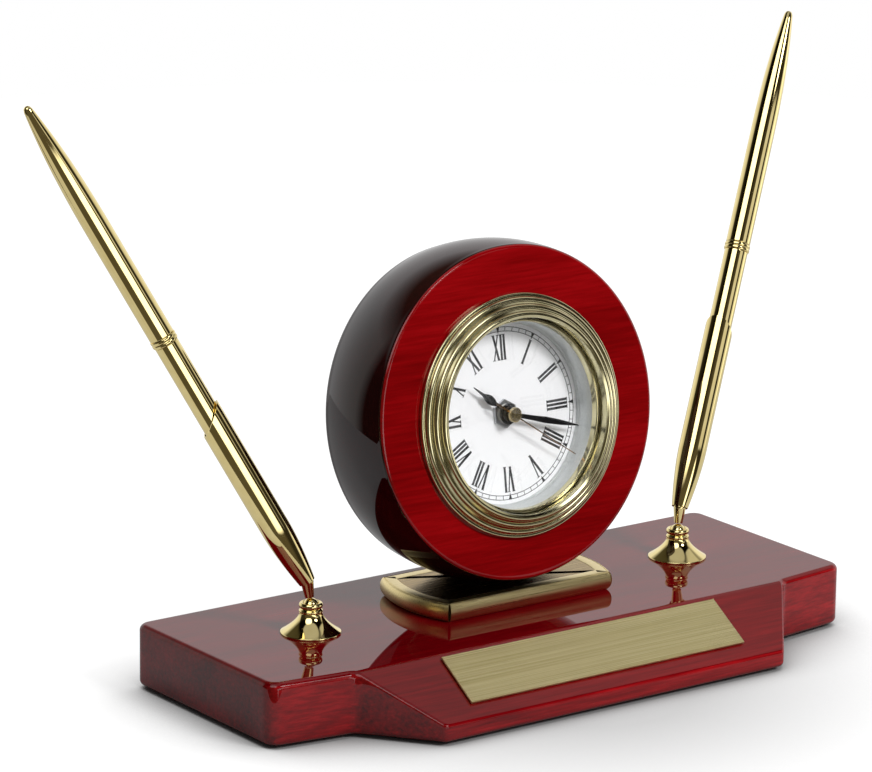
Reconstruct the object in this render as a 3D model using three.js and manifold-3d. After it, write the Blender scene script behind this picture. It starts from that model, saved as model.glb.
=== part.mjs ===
// Desk clock pen set: a gloss wooden stand with a brass plinth, a round quartz clock that leans back on it,
// and a gold pen in a swivel holder on each wing.
//
// Units are millimetres and +Z is up. The origin lies on the surface that the stand rests on, under the
// middle of the slab. +X is to the right of a person who faces the clock, and -Y is towards that person.

import * as THREE from 'three';
import { mergeVertices } from 'three/addons/utils/BufferGeometryUtils.js';
import Module from 'manifold-3d';

const wasm = await Module();
wasm.setup();

// Clearances
const RUNNING_GAP = 0.3; // between pieces that move on each other
const SEAT_GAP = 0.1; // between pieces that are fixed to each other
const BORE_GAP = 0.3; // round a screw or stud in its plain hole
const THREAD_GAP = 0.1; // round a screw or stud in its thread

// Slab of the stand
const STAND_WIDTH = 204;
const STAND_DEPTH = 92; // lip of the centre projection to the rear edge
const FELT_THICKNESS = 1;
const FELT_INSET = 4;
const SLAB_THICKNESS = 18;
const SLAB_EDGE_RADIUS = 1.8;
const REAR_CORNER_RADIUS = 4;
const WING_CORNER_RADIUS = 4.5;
const WING_TIP_SETBACK = 23.8; // front of a wing at its tip, behind the lip
const WING_ROOT_SETBACK = 20.4; // front of a wing at the projection, behind the lip
const PROJECTION_ROOT_WIDTH = 152.6;
const LIP_WIDTH = 120;
const LIP_HEIGHT = 5; // above the underside of the slab
const LIP_CORNER_RADIUS = 2.2;
const COVE_RADIUS = 5;

// Plate on the slope
const NAMEPLATE_WIDTH = 97;
const NAMEPLATE_HEIGHT = 17;
const NAMEPLATE_THICKNESS = 0.8;
const NAMEPLATE_BEVEL = 0.25;
const NAMEPLATE_TOP_MARGIN = 1.8; // along the slope, below its upper edge

// Plinth under the clock
const PLINTH_FRONT_WIDTH = 58.4;
const PLINTH_DEPTH = 34;
const PLINTH_END_BULGE = 3.9;
const PLINTH_THICKNESS = 5.4;
const PLINTH_FRONT_SETBACK = 41; // behind the lip
const MOULDING_WIDTH = 3.2;
const MITRE_GAP = 0.12;

// Wooden clock case
const CASE_RADIUS = 48; // of its face
const CASE_BULGE = 1.5; // of its side, at the middle of its thickness
const CASE_BACK_TAPER = 0.6; // by which its back is smaller than its face
const CASE_THICKNESS = 30;
const CASE_LEAN = THREE.MathUtils.degToRad(8.7);
const CASE_EDGE_RADIUS = 1.2;
const CASE_BACK_EDGE_RADIUS = 3;
const CASE_TOE_SETBACK = 0.4; // foot of the case's face, behind the front of the plinth
const CASE_TOE_HEIGHT = 2.95; // foot of the case's face, above the plinth
const CASE_BORE_RADIUS = 31;
const CASE_BORE_DEPTH = 21.5;
const CASE_BORE_DROP = 0.8; // middle of the bore, below the middle of the face

// Screws that hold the case
const CASE_SCREW_SPACING = 12;
const CASE_SCREW_SETBACK = 23.6; // behind the foot of the case's face
const CASE_SCREW_RADIUS = 1.9;
const CASE_SCREW_HEAD_RADIUS = 3.6;
const CASE_SCREW_HEAD_HEIGHT = 2.6;
const CASE_SCREW_SINK = 5; // depth of its counterbore
const CASE_SCREW_REACH = 12.5; // length inside the case
const COUNTERBORE_GAP = 1.2;

// Clock insert: heights are measured forwards from the face of the case
const BEZEL_RADIUS = 35;
const BEZEL_MOUTH_RADIUS = 28;
const BEZEL_LIP_WIDTH = 1;
const BEZEL_LIP_HEIGHT = 1.5;
const BEZEL_HEIGHT = 5.1;
const BEZEL_BEADS = 3;
const BEZEL_SKIRT_RADIUS = 30;
const BEZEL_SKIRT_DEPTH = 9;
const LENS_THICKNESS = 1.6;
const LENS_RECESS = 1.9; // below the top of the bezel
const DIAL_DEPTH = 7.2;
const DIAL_THICKNESS = 0.6;
const DIAL_WINDOW_RADIUS = 26;
const REFLECTOR_WALL = 0.4;
const CUP_DEPTH = 19;
const CUP_WALL = 1.2;
const CUP_WINDOW_RADIUS = 20;
const BAND_DEPTH = 10;
const BAND_WIDTH = 6;

// Movement
const MOVEMENT_WIDTH = 40;
const MOVEMENT_CORNER_RADIUS = 4;
const MOVEMENT_WALL = 1;
const MOVEMENT_DEPTH = 8.5;
const COVER_THICKNESS = 0.9;
const NECK_WALL = 0.5;
const NECK_LENGTH = 1; // beyond the dial
const DIAL_NUT_RADIUS = 4.2;
const DIAL_NUT_HEIGHT = 0.8;
const WHEEL_POST_RADIUS = 0.45;
const CELL_RADIUS = 5.8;
const CELL_THICKNESS = 5.4;
const CELL_PLACE = new THREE.Vector2(13, 2);
const STRAP_WIDTH = 4;
const STRAP_THICKNESS = 0.3;
const COIL_RADIUS = 2.4;
const COIL_FLANGE_RADIUS = 3.5;
const COIL_LENGTH = 22;
const COIL_FLANGE_THICKNESS = 1;
const COIL_PLACE = new THREE.Vector2(-14, -4);
const BOARD_WIDTH = 26;
const BOARD_HEIGHT = 9;
const BOARD_THICKNESS = 0.8;
const CRYSTAL_RADIUS = 1;
const CRYSTAL_LENGTH = 6;

// Wheels of the motion work: both meshes have the same centre distance
const CANNON_TEETH = 10;
const SET_WHEEL_TEETH = 30;
const SET_PINION_TEETH = 8;
const HOUR_WHEEL_TEETH = 32;
const SECOND_WHEEL_TEETH = 30;
const CENTRE_DISTANCE = 7.2;
const SECOND_WHEEL_RADIUS = 5.2;
const WHEEL_THICKNESS = 0.7;
const SECOND_ARBOR_RADIUS = 0.5;
const TUBE_WALL = 0.5;
const SET_STEM_RADIUS = 1.2;
const SET_KNOB_RADIUS = 4.2;
const SET_KNOB_HEIGHT = 1.8;
const SET_KNOB_NOTCHES = 12;

// Hands: heights above the dial, and the time that they show
const HOUR_HAND_LENGTH = 14.8;
const MINUTE_HAND_LENGTH = 24.6;
const SECOND_HAND_LENGTH = 25.4;
const SECOND_HAND_TAIL = 7;
const HAND_THICKNESS = 0.3;
const HOUR_HAND_HEIGHT = 2.1;
const MINUTE_HAND_HEIGHT = 3.4;
const SECOND_HAND_HEIGHT = 4.5;
const HUB_WIDTH = 0.9;
const HAND_CAP_RADIUS = 2.15;
const HAND_CAP_HEIGHT = 0.9;
const SHOWN_HOUR = 10;
const SHOWN_MINUTE = 17.6;
const SHOWN_SECOND = 20.8;

// Pen holders
const HOLDER_SPACING = 131.9;
const HOLDER_SETBACK = 56.7; // behind the lip
const BELL_RADIUS = 8.6;
const BELL_HEIGHT = 8.9;
const COLLAR_HEIGHT = 2.9; // part of the bell's height that the two beads of its collar take
const BELL_RIM_THICKNESS = 0.35;
const COLLAR_RADIUS = 3.4;
const BALL_RADIUS = 2.3;
const BALL_HEIGHT = 7.8; // centre above the slab
const STUD_RADIUS = 1.8;
const STUD_HEAD_HEIGHT = 0.7;
const NUT_RADIUS = 3.6;
const NUT_HEIGHT = 2.3;
const WASHER_RADIUS = 5;
const WASHER_THICKNESS = 1;
const STUD_SINK = 7; // depth of its counterbore
const STEM_LENGTH = 7.2; // centre of the ball to the end of the sleeve
const STEM_FOOT_RADIUS = 1.3;
const STEM_TOP_RADIUS = 1.85;
const STEM_LEAN = THREE.MathUtils.degToRad(9);
const PEN_LEAN = THREE.MathUtils.degToRad(29.5);
const PEN_HEADING = THREE.MathUtils.degToRad(28.4); // turned backwards from straight out to the side
const SLEEVE_RADIUS = 4.2;
const SLEEVE_BORE_RADIUS = 3.85;
const SLEEVE_END_RADIUS = 2.4;
const SLEEVE_END_WALL = 0.25;
const SLEEVE_TAPER_LENGTH = 18;
const SLEEVE_LENGTH = 54.8; // along its axis, to the middle of the mouth
const MOUTH_SLOPE = THREE.MathUtils.degToRad(42);

// Pens: heights are measured along the sleeve's axis from its lower end
const PEN_TOP = 156.7;
const PEN_RING_HEIGHT = 80;
const PEN_RING_LENGTH = 2.2;
const PEN_RING_RADIUS = 3.85;
const PEN_TIP_HEIGHT = 8.3;
const PEN_NOSE_HEIGHT = 9.6;
const PEN_NOSE_LENGTH = 14.4;
const PEN_UPPER_RADIUS = 3.65;
const PEN_LOWER_RADIUS = 3.5;
const PEN_WALL = 0.9;
const PEN_TAPER_LENGTH = 42;
const PEN_TIP_RADIUS = 1.1;
const PEN_CROWN_LENGTH = 14; // solid metal above the hollow
const REFILL_RADIUS = 1.1;
const REFILL_TOP = 108;
const REFILL_POINT_RADIUS = 0.45;

// Fineness of round pieces, in steps a turn
const ROUND_LARGE = 42;
const ROUND_MEDIUM = 22;
const ROUND_SMALL = 16;
const CORNER_STEPS = 4;
const EDGE_STEPS = 3;

// Levels and places that follow from the sizes above
const slabBottom = FELT_THICKNESS;
const slabTop = slabBottom + SLAB_THICKNESS;
const lipY = -STAND_DEPTH / 2;
const slopeTopY = lipY + WING_ROOT_SETBACK;
const slopeRise = SLAB_THICKNESS - LIP_HEIGHT;
const slopeAngle = Math.atan2(slopeRise, WING_ROOT_SETBACK);
const plinthTop = slabTop + PLINTH_THICKNESS;
const plinthFrontY = lipY + PLINTH_FRONT_SETBACK;
const caseToeY = plinthFrontY + CASE_TOE_SETBACK;
const caseScrewY = caseToeY + CASE_SCREW_SETBACK;
const lensTop = BEZEL_HEIGHT - LENS_RECESS;
const lensBottom = lensTop - LENS_THICKNESS;
const dialFront = -DIAL_DEPTH;
const dialBack = dialFront - DIAL_THICKNESS;
const movementFront = dialBack - RUNNING_GAP;
const movementBack = movementFront - MOVEMENT_DEPTH;
const coverBack = movementBack - SEAT_GAP - COVER_THICKNESS;
const minuteTubeRadius = SECOND_ARBOR_RADIUS + RUNNING_GAP + TUBE_WALL;
const hourTubeRadius = minuteTubeRadius + RUNNING_GAP + TUBE_WALL;
const neckRadius = hourTubeRadius + RUNNING_GAP + NECK_WALL;
const holderX = HOLDER_SPACING / 2;
const holderY = lipY + HOLDER_SETBACK;
const ballZ = slabTop + BALL_HEIGHT;
const sides = [{ name: 'left', sign: -1 }, { name: 'right', sign: 1 }];

// Materials
const finish = (color, roughness, metalness, extra = {}) =>
  new THREE.MeshStandardMaterial({ color, roughness, metalness, ...extra });
const rosewood = finish(0x6a1418, 0.15, 0);
const felt = finish(0x1d2a22, 0.95, 0);
const brushedBrass = finish(0xb9a05c, 0.4, 1);
const antiqueBrass = finish(0x9c7f45, 0.38, 1);
const polishedGold = finish(0xd9c27a, 0.15, 1);
const bezelGold = finish(0xc2b277, 0.2, 1);
const copperGold = finish(0xc08a5a, 0.25, 1);
const steel = finish(0xa9abb0, 0.35, 1);
const silver = finish(0xd8d8d4, 0.3, 0.6);
const dialWhite = finish(0xf4f3f0, 0.5, 0);
const blackPaint = finish(0x101010, 0.4, 0);
const clearLens = finish(0xffffff, 0.05, 0, { transparent: true, opacity: 0.25 });
const blackPlastic = finish(0x202224, 0.5, 0);
const whitePlastic = finish(0xdfe0dd, 0.5, 0);
const greenBoard = finish(0x1f5b3a, 0.5, 0);
const copperWire = finish(0xb0683a, 0.35, 1);
const blackRubber = finish(0x17171a, 0.9, 0);

// Closed shapes

// Merges shared vertices, drops triangles without area and turns the faces outwards.
function closed(geometry) {
  const bare = geometry.clone();
  bare.deleteAttribute('normal');
  bare.deleteAttribute('uv');
  const merged = mergeVertices(bare, 1e-4);
  const corners = merged.getAttribute('position');
  const index = Array.from(merged.getIndex().array);
  const [a, b, c] = [new THREE.Vector3(), new THREE.Vector3(), new THREE.Vector3()];
  let faces = [];
  let volume = 0;
  for (let i = 0; i < index.length; i += 3) {
    const [p, q, r] = index.slice(i, i + 3);
    if (p === q || q === r || r === p) continue;
    a.fromBufferAttribute(corners, p);
    b.fromBufferAttribute(corners, q);
    c.fromBufferAttribute(corners, r);
    volume += a.dot(b.cross(c));
    faces.push([p, q, r]);
  }
  if (volume < 0) faces = faces.map(([p, q, r]) => [p, r, q]);
  const out = new THREE.BufferGeometry();
  out.setAttribute('position', corners.clone());
  out.setIndex(faces.flat());
  out.computeVertexNormals();
  return out;
}

function toManifold(geometry) {
  const shape = closed(geometry);
  return new wasm.Manifold(new wasm.Mesh({
    numProp: 3,
    vertProperties: Float32Array.from(shape.getAttribute('position').array),
    triVerts: Uint32Array.from(shape.getIndex().array),
  }));
}

function fromManifold(manifold) {
  const mesh = manifold.getMesh();
  const corners = new Float32Array((mesh.vertProperties.length / mesh.numProp) * 3);
  for (let i = 0; i < corners.length / 3; i += 1) {
    for (let k = 0; k < 3; k += 1) corners[3 * i + k] = mesh.vertProperties[mesh.numProp * i + k];
  }
  const out = new THREE.BufferGeometry();
  out.setAttribute('position', new THREE.BufferAttribute(corners, 3));
  out.setIndex(Array.from(mesh.triVerts));
  out.computeVertexNormals();
  return out;
}

const cut = (body, ...tools) =>
  fromManifold(tools.reduce((left, tool) => left.subtract(toManifold(tool)), toManifold(body)));
const join = (...bodies) =>
  fromManifold(bodies.map(toManifold).reduce((sum, body) => sum.add(body)));

// A profile of [radius, height] pairs turned about +Z. It starts and ends on the axis, or is a closed loop.
function turned(profile, steps) {
  const onAxis = profile[0][0] === 0 && profile.at(-1)[0] === 0;
  const loop = onAxis ? profile : [...profile, profile[0]];
  const points = loop.map(([radius, height]) => new THREE.Vector2(radius, height));
  return closed(new THREE.LatheGeometry(points, steps).rotateX(Math.PI / 2));
}

const rod = (radius, low, high, steps = ROUND_SMALL) =>
  turned([[0, low], [radius, low], [radius, high], [0, high]], steps);
const ring = (inner, outer, low, high, steps = ROUND_MEDIUM) =>
  turned([[inner, low], [outer, low], [outer, high], [inner, high]], steps);

// Points of an arc about (x, y), from one angle to another in degrees.
function arc(x, y, radius, from, to, steps) {
  return Array.from({ length: steps + 1 }, (_, i) => {
    const angle = THREE.MathUtils.degToRad(from + ((to - from) * i) / steps);
    return [x + radius * Math.cos(angle), y + radius * Math.sin(angle)];
  });
}

// A polygon whose corners, given as [x, y, radius], are rounded with tangent arcs.
function roundedOutline(corners, steps = CORNER_STEPS) {
  return corners.flatMap(([x, y, radius], i) => {
    const here = new THREE.Vector2(x, y);
    const [px, py] = corners.at(i - 1);
    const [nx, ny] = corners[(i + 1) % corners.length];
    const back = new THREE.Vector2(px, py).sub(here).normalize();
    const ahead = new THREE.Vector2(nx, ny).sub(here).normalize();
    const half = Math.acos(THREE.MathUtils.clamp(back.dot(ahead), -1, 1)) / 2;
    const centre = back.clone().add(ahead).normalize().multiplyScalar(radius / Math.sin(half)).add(here);
    const start = back.multiplyScalar(radius / Math.tan(half)).add(here).sub(centre);
    const end = ahead.multiplyScalar(radius / Math.tan(half)).add(here).sub(centre);
    let sweep = end.angle() - start.angle();
    if (sweep > Math.PI) sweep -= 2 * Math.PI;
    if (sweep < -Math.PI) sweep += 2 * Math.PI;
    return Array.from({ length: steps + 1 }, (_, k) => {
      const angle = start.angle() + (sweep * k) / steps;
      return new THREE.Vector2(Math.cos(angle), Math.sin(angle)).multiplyScalar(radius).add(centre);
    });
  });
}

// For each point of a counter-clockwise outline, the step inwards that moves both its edges in by 1.
function inwardSteps(outline) {
  return outline.map((point, i) => {
    const before = point.clone().sub(outline.at(i - 1)).normalize();
    const after = outline[(i + 1) % outline.length].clone().sub(point).normalize();
    const normalBefore = new THREE.Vector2(-before.y, before.x);
    const normalAfter = new THREE.Vector2(-after.y, after.x);
    const mitre = normalBefore.add(normalAfter).normalize();
    return mitre.multiplyScalar(1 / mitre.dot(normalAfter));
  });
}

function inset(outline, distance) {
  const steps = inwardSteps(outline);
  return outline.map((point, i) => point.clone().addScaledVector(steps[i], distance));
}

// A prism of an outline between two heights.
const prism = (outline, low, high) =>
  closed(new THREE.ExtrudeGeometry(new THREE.Shape(outline), { depth: high - low, bevelEnabled: false })
    .translate(0, 0, low));

// A prism whose upper and lower edges are rounded: its rings are insets of the outline.
function roundedPrism(outline, low, high, radius) {
  const levels = [];
  for (let k = 0; k <= EDGE_STEPS; k += 1) {
    const angle = (Math.PI / 2) * (k / EDGE_STEPS);
    levels.push([radius * (1 - Math.sin(angle)), low + radius * (1 - Math.cos(angle))]);
  }
  for (let k = 0; k <= EDGE_STEPS; k += 1) {
    const angle = (Math.PI / 2) * (k / EDGE_STEPS);
    levels.push([radius * (1 - Math.cos(angle)), high - radius * (1 - Math.sin(angle))]);
  }
  const count = outline.length;
  const corners = levels.flatMap(([distance, height]) =>
    inset(outline, distance).flatMap((point) => [point.x, point.y, height]));
  const index = [];
  for (let level = 0; level < levels.length - 1; level += 1) {
    for (let i = 0; i < count; i += 1) {
      const [a, b] = [level * count + i, level * count + ((i + 1) % count)];
      index.push(a, b, b + count, a, b + count, a + count);
    }
  }
  const top = (levels.length - 1) * count;
  for (const [a, b, c] of THREE.ShapeUtils.triangulateShape(inset(outline, radius), [])) {
    index.push(a, c, b, top + a, top + b, top + c);
  }
  const out = new THREE.BufferGeometry();
  out.setAttribute('position', new THREE.Float32BufferAttribute(corners, 3));
  out.setIndex(index);
  return closed(out);
}

// A toothed disc about +Z with one tooth centred on the phase angle, in degrees.
function toothedDisc(teeth, pitchRadius, bore, low, high, phase) {
  const size = (2 * pitchRadius) / teeth;
  const tooth = (2 * Math.PI) / teeth;
  const outer = pitchRadius + 0.8 * size;
  const root = pitchRadius - 1.1 * size;
  const rim = [];
  for (let i = 0; i < teeth; i += 1) {
    const middle = THREE.MathUtils.degToRad(phase) + i * tooth;
    for (const [share, radius] of [[-0.3, root], [-0.12, outer], [0.12, outer], [0.3, root]]) {
      const angle = middle + share * tooth;
      rim.push(new THREE.Vector2(radius * Math.cos(angle), radius * Math.sin(angle)));
    }
  }
  const shape = new THREE.Shape(rim);
  if (bore > 0) shape.holes.push(new THREE.Path().absarc(0, 0, bore, 0, 2 * Math.PI, true));
  const disc = new THREE.ExtrudeGeometry(shape, { depth: high - low, bevelEnabled: false, curveSegments: 12 });
  return closed(disc.translate(0, 0, low));
}

const moved = (geometry, x, y, z) => geometry.clone().translate(x, y, z);

function add(parent, name, geometry, material) {
  const mesh = new THREE.Mesh(closed(geometry), material);
  mesh.name = name;
  parent.add(mesh);
  return mesh;
}

// Stand

// Outline of the stand, moved in by a distance.
function standOutline(distance) {
  const halfWidth = STAND_WIDTH / 2;
  const rearY = lipY + STAND_DEPTH;
  const tipY = lipY + WING_TIP_SETBACK;
  const rightSide = [
    [LIP_WIDTH / 2, lipY, LIP_CORNER_RADIUS],
    [PROJECTION_ROOT_WIDTH / 2, slopeTopY, COVE_RADIUS],
    [halfWidth, tipY, WING_CORNER_RADIUS],
    [halfWidth, rearY, REAR_CORNER_RADIUS],
  ];
  const leftSide = rightSide.map(([x, y, radius]) => [-x, y, radius]).reverse();
  const corners = [...rightSide, ...leftSide];
  const sharp = inset(corners.map(([x, y]) => new THREE.Vector2(x, y)), distance);
  return roundedOutline(sharp.map(({ x, y }, i) => [x, y, corners[i][2]]));
}

// The solid above the slope: what the slope takes off the front of the slab.
function slopeWaste() {
  const reach = SLAB_THICKNESS;
  const slope = slopeRise / WING_ROOT_SETBACK;
  const side = new THREE.Shape([
    new THREE.Vector2(lipY - reach, slabTop - slopeRise - reach * slope),
    new THREE.Vector2(slopeTopY, slabTop),
    new THREE.Vector2(slopeTopY + reach, slabTop + reach * slope),
    new THREE.Vector2(lipY - reach, slabTop + reach * slope),
  ]);
  const width = STAND_WIDTH;
  const waste = new THREE.ExtrudeGeometry(side, { depth: width, bevelEnabled: false });
  return waste.applyMatrix4(new THREE.Matrix4().set(0, 0, 1, -width / 2, 1, 0, 0, 0, 0, 1, 0, 0, 0, 0, 0, 1));
}

function buildBaseBlock(parent) {
  const holes = [];
  for (const { sign } of sides) {
    const through = rod(STUD_RADIUS + BORE_GAP, slabBottom - 1, slabTop + 1);
    const sink = rod(WASHER_RADIUS + COUNTERBORE_GAP, slabBottom - 1, slabBottom + STUD_SINK);
    holes.push(moved(through, sign * holderX, holderY, 0), moved(sink, sign * holderX, holderY, 0));
    const x = (sign * CASE_SCREW_SPACING) / 2;
    const screwHole = rod(CASE_SCREW_RADIUS + BORE_GAP, slabBottom - 1, slabTop + 1);
    const screwSink = rod(CASE_SCREW_HEAD_RADIUS + COUNTERBORE_GAP, slabBottom - 1, slabBottom + CASE_SCREW_SINK);
    holes.push(moved(screwHole, x, caseScrewY, 0), moved(screwSink, x, caseScrewY, 0));
  }
  const slab = roundedPrism(standOutline(0), slabBottom, slabTop, SLAB_EDGE_RADIUS);
  add(parent, 'base_block', cut(slab, slopeWaste(), ...holes), rosewood);
}

function buildFeltPad(parent) {
  add(parent, 'felt_pad', prism(standOutline(FELT_INSET), 0, FELT_THICKNESS), felt);
}

function buildNameplate(parent) {
  const [w, h, e] = [NAMEPLATE_WIDTH / 2, NAMEPLATE_HEIGHT / 2, NAMEPLATE_BEVEL];
  const outline = [[w, h], [-w, h], [-w, -h], [w, -h]].map(([x, y]) => new THREE.Vector2(x, y));
  const shape = new THREE.Shape(inset(outline, e));
  const plate = new THREE.ExtrudeGeometry(shape, {
    depth: NAMEPLATE_THICKNESS - e, bevelEnabled: true, bevelThickness: e, bevelSize: e, bevelSegments: 1,
  });
  plate.applyMatrix4(new THREE.Matrix4().makeTranslation(0, 0, SEAT_GAP + e));
  const slope = new THREE.Group();
  const middle = NAMEPLATE_TOP_MARGIN + h;
  slope.position.set(0, slopeTopY - middle * Math.cos(slopeAngle), slabTop - middle * Math.sin(slopeAngle));
  slope.rotation.x = slopeAngle;
  parent.add(slope);
  add(slope, 'nameplate', cut(plate, moved(new THREE.BoxGeometry(2 * w, 2 * h, e), 0, 0,
    SEAT_GAP + NAMEPLATE_THICKNESS + e / 2)), brushedBrass);
}

// Plinth

// Runs of the plinth's outline, counter-clockwise, each as the points from one corner to the next.
function plinthRuns() {
  const half = PLINTH_FRONT_WIDTH / 2;
  const [front, rear] = [plinthFrontY, plinthFrontY + PLINTH_DEPTH];
  const radius = (PLINTH_DEPTH ** 2 / 4 + PLINTH_END_BULGE ** 2) / (2 * PLINTH_END_BULGE);
  const spread = THREE.MathUtils.radToDeg(Math.asin(PLINTH_DEPTH / 2 / radius));
  const middle = (front + rear) / 2;
  const reach = half + PLINTH_END_BULGE - radius;
  const steps = 2 * CORNER_STEPS;
  return {
    front: [[-half, front], [half, front]],
    right: arc(reach, middle, radius, -spread, spread, steps),
    rear: [[half, rear], [-half, rear]],
    left: arc(-reach, middle, radius, 180 - spread, 180 + spread, steps),
  };
}

// One strip of the moulding: a half round carried along its run, with mitred ends.
function mouldingStrip(run, insets) {
  const radius = PLINTH_THICKNESS / 2;
  const nose = arc(radius, slabTop + radius, radius, 90, 270, 2 * CORNER_STEPS);
  const section = [[MOULDING_WIDTH, plinthTop], ...nose, [MOULDING_WIDTH, slabTop]];
  const last = run.length - 1;
  const corners = run.flatMap((point, i) => {
    const along = i === 0 ? run[1].clone().sub(point) : point.clone().sub(run[i - 1]);
    const trim = i === 0 ? MITRE_GAP / 2 : i === last ? -MITRE_GAP / 2 : 0;
    const start = point.clone().addScaledVector(along.normalize(), trim);
    return section.flatMap(([depth, height]) => {
      const place = start.clone().addScaledVector(insets[i], depth);
      return [place.x, place.y, height];
    });
  });
  const count = section.length;
  const index = [];
  for (let i = 0; i < last; i += 1) {
    for (let k = 0; k < count; k += 1) {
      const [a, b] = [i * count + k, i * count + ((k + 1) % count)];
      index.push(a, b, b + count, a, b + count, a + count);
    }
  }
  const flat = section.map(([depth, height]) => new THREE.Vector2(depth, height));
  for (const [a, b, c] of THREE.ShapeUtils.triangulateShape(flat, [])) {
    index.push(a, c, b, last * count + a, last * count + b, last * count + c);
  }
  const out = new THREE.BufferGeometry();
  out.setAttribute('position', new THREE.Float32BufferAttribute(corners, 3));
  out.setIndex(index);
  return closed(out);
}

function buildPlinth(parent) {
  const runs = plinthRuns();
  const names = ['front', 'right', 'rear', 'left'];
  const outline = names.flatMap((name) => runs[name].slice(0, -1).map(([x, y]) => new THREE.Vector2(x, y)));
  const steps = inwardSteps(outline);
  let first = 0;
  for (const name of names) {
    const points = runs[name].map(([x, y]) => new THREE.Vector2(x, y));
    const insets = points.map((_, i) => steps[(first + i) % outline.length]);
    add(parent, `plinth_${name}_moulding`, mouldingStrip(points, insets), antiqueBrass);
    first += points.length - 1;
  }
  const plate = prism(inset(outline, MOULDING_WIDTH + SEAT_GAP), slabTop, plinthTop);
  const holes = sides.map(({ sign }) => moved(
    rod(CASE_SCREW_RADIUS + BORE_GAP, slabTop - 1, plinthTop + 1), (sign * CASE_SCREW_SPACING) / 2, caseScrewY, 0));
  add(parent, 'plinth_plate', cut(plate, ...holes), antiqueBrass);
}

// Clock: a group whose origin is the middle of the bore in the case's face, with +Z forwards and +Y towards
// the twelve

function clockFrame() {
  const frame = new THREE.Group();
  const reach = CASE_RADIUS - CASE_BORE_DROP;
  frame.position.set(0, caseToeY + reach * Math.sin(CASE_LEAN),
    plinthTop + CASE_TOE_HEIGHT + reach * Math.cos(CASE_LEAN));
  frame.rotation.x = Math.PI / 2 - CASE_LEAN;
  frame.updateMatrixWorld();
  return frame;
}

// The side of the case from its back edge to its front edge: a barrel that draws in towards the back.
function caseSide() {
  const steps = 2 * CORNER_STEPS;
  const [back, front] = [CASE_BACK_EDGE_RADIUS - CASE_THICKNESS, -CASE_EDGE_RADIUS];
  return Array.from({ length: steps - 1 }, (_, i) => {
    const share = (i + 1) / steps;
    const taper = CASE_BACK_TAPER * (1 - share);
    return [CASE_RADIUS - taper + 4 * CASE_BULGE * share * (1 - share), back + (front - back) * share];
  });
}

function buildClockCase(frame) {
  const [r, t] = [CASE_RADIUS, CASE_THICKNESS];
  const [edge, backEdge] = [CASE_EDGE_RADIUS, CASE_BACK_EDGE_RADIUS];
  const drum = turned([
    [0, -t],
    ...arc(r - CASE_BACK_TAPER - backEdge, backEdge - t, backEdge, -90, 0, EDGE_STEPS),
    ...caseSide(),
    ...arc(r - edge, -edge, edge, 0, 90, EDGE_STEPS),
    [0, 0],
  ], ROUND_LARGE + 12);
  const bore = rod(CASE_BORE_RADIUS, -CASE_BORE_DEPTH, 1, ROUND_LARGE + 12);
  const toClock = frame.matrixWorld.clone().invert();
  const seat = plinthTop + SEAT_GAP;
  const sole = new THREE.BoxGeometry(2 * r, 2 * r, r).translate(0, caseToeY, seat - r / 2).applyMatrix4(toClock);
  const pilots = sides.map(({ sign }) =>
    moved(rod(CASE_SCREW_RADIUS + THREAD_GAP, seat - 1, seat + CASE_SCREW_REACH + 1),
      (sign * CASE_SCREW_SPACING) / 2, caseScrewY, 0).applyMatrix4(toClock));
  add(frame, 'clock_case', cut(moved(drum, 0, CASE_BORE_DROP, 0), bore, sole, ...pilots), rosewood);
}

function buildCaseScrews(parent) {
  for (const { name, sign } of sides) {
    const headTop = slabBottom + CASE_SCREW_SINK - SEAT_GAP;
    const head = headTop - CASE_SCREW_HEAD_HEIGHT;
    const end = plinthTop + SEAT_GAP + CASE_SCREW_REACH;
    const screw = turned([
      [0, head], [CASE_SCREW_HEAD_RADIUS, head], [CASE_SCREW_HEAD_RADIUS, headTop], [CASE_SCREW_RADIUS, headTop],
      [CASE_SCREW_RADIUS, end - 2 * CASE_SCREW_RADIUS], [0, end],
    ], ROUND_SMALL);
    add(parent, `case_screw_${name}`, moved(screw, (sign * CASE_SCREW_SPACING) / 2, caseScrewY, 0), steel);
  }
}

// The bezel's front: an outer lip, then beads that climb inwards to the mouth.
function bezelFront() {
  const beadRoom = BEZEL_RADIUS - BEZEL_LIP_WIDTH - BEZEL_MOUTH_RADIUS;
  const width = beadRoom / BEZEL_BEADS;
  const rise = (BEZEL_HEIGHT - BEZEL_LIP_HEIGHT) / BEZEL_BEADS;
  const lip = [
    [BEZEL_RADIUS, SEAT_GAP],
    [BEZEL_RADIUS, BEZEL_LIP_HEIGHT * 0.75],
    [BEZEL_RADIUS - BEZEL_LIP_WIDTH * 0.35, BEZEL_LIP_HEIGHT],
    [BEZEL_RADIUS - BEZEL_LIP_WIDTH * 0.8, BEZEL_LIP_HEIGHT * 0.95],
  ];
  const beads = Array.from({ length: BEZEL_BEADS }, (_, i) => {
    const outer = BEZEL_RADIUS - BEZEL_LIP_WIDTH - i * width;
    const top = BEZEL_LIP_HEIGHT + (i + 1) * rise;
    return arc(0, 0, 1, 10, 120, 3).map(([c, s]) => [outer - (width / 2) * (1 - c), top - rise * (1 - s)]);
  });
  return [...lip, ...beads.flat()];
}

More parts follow.
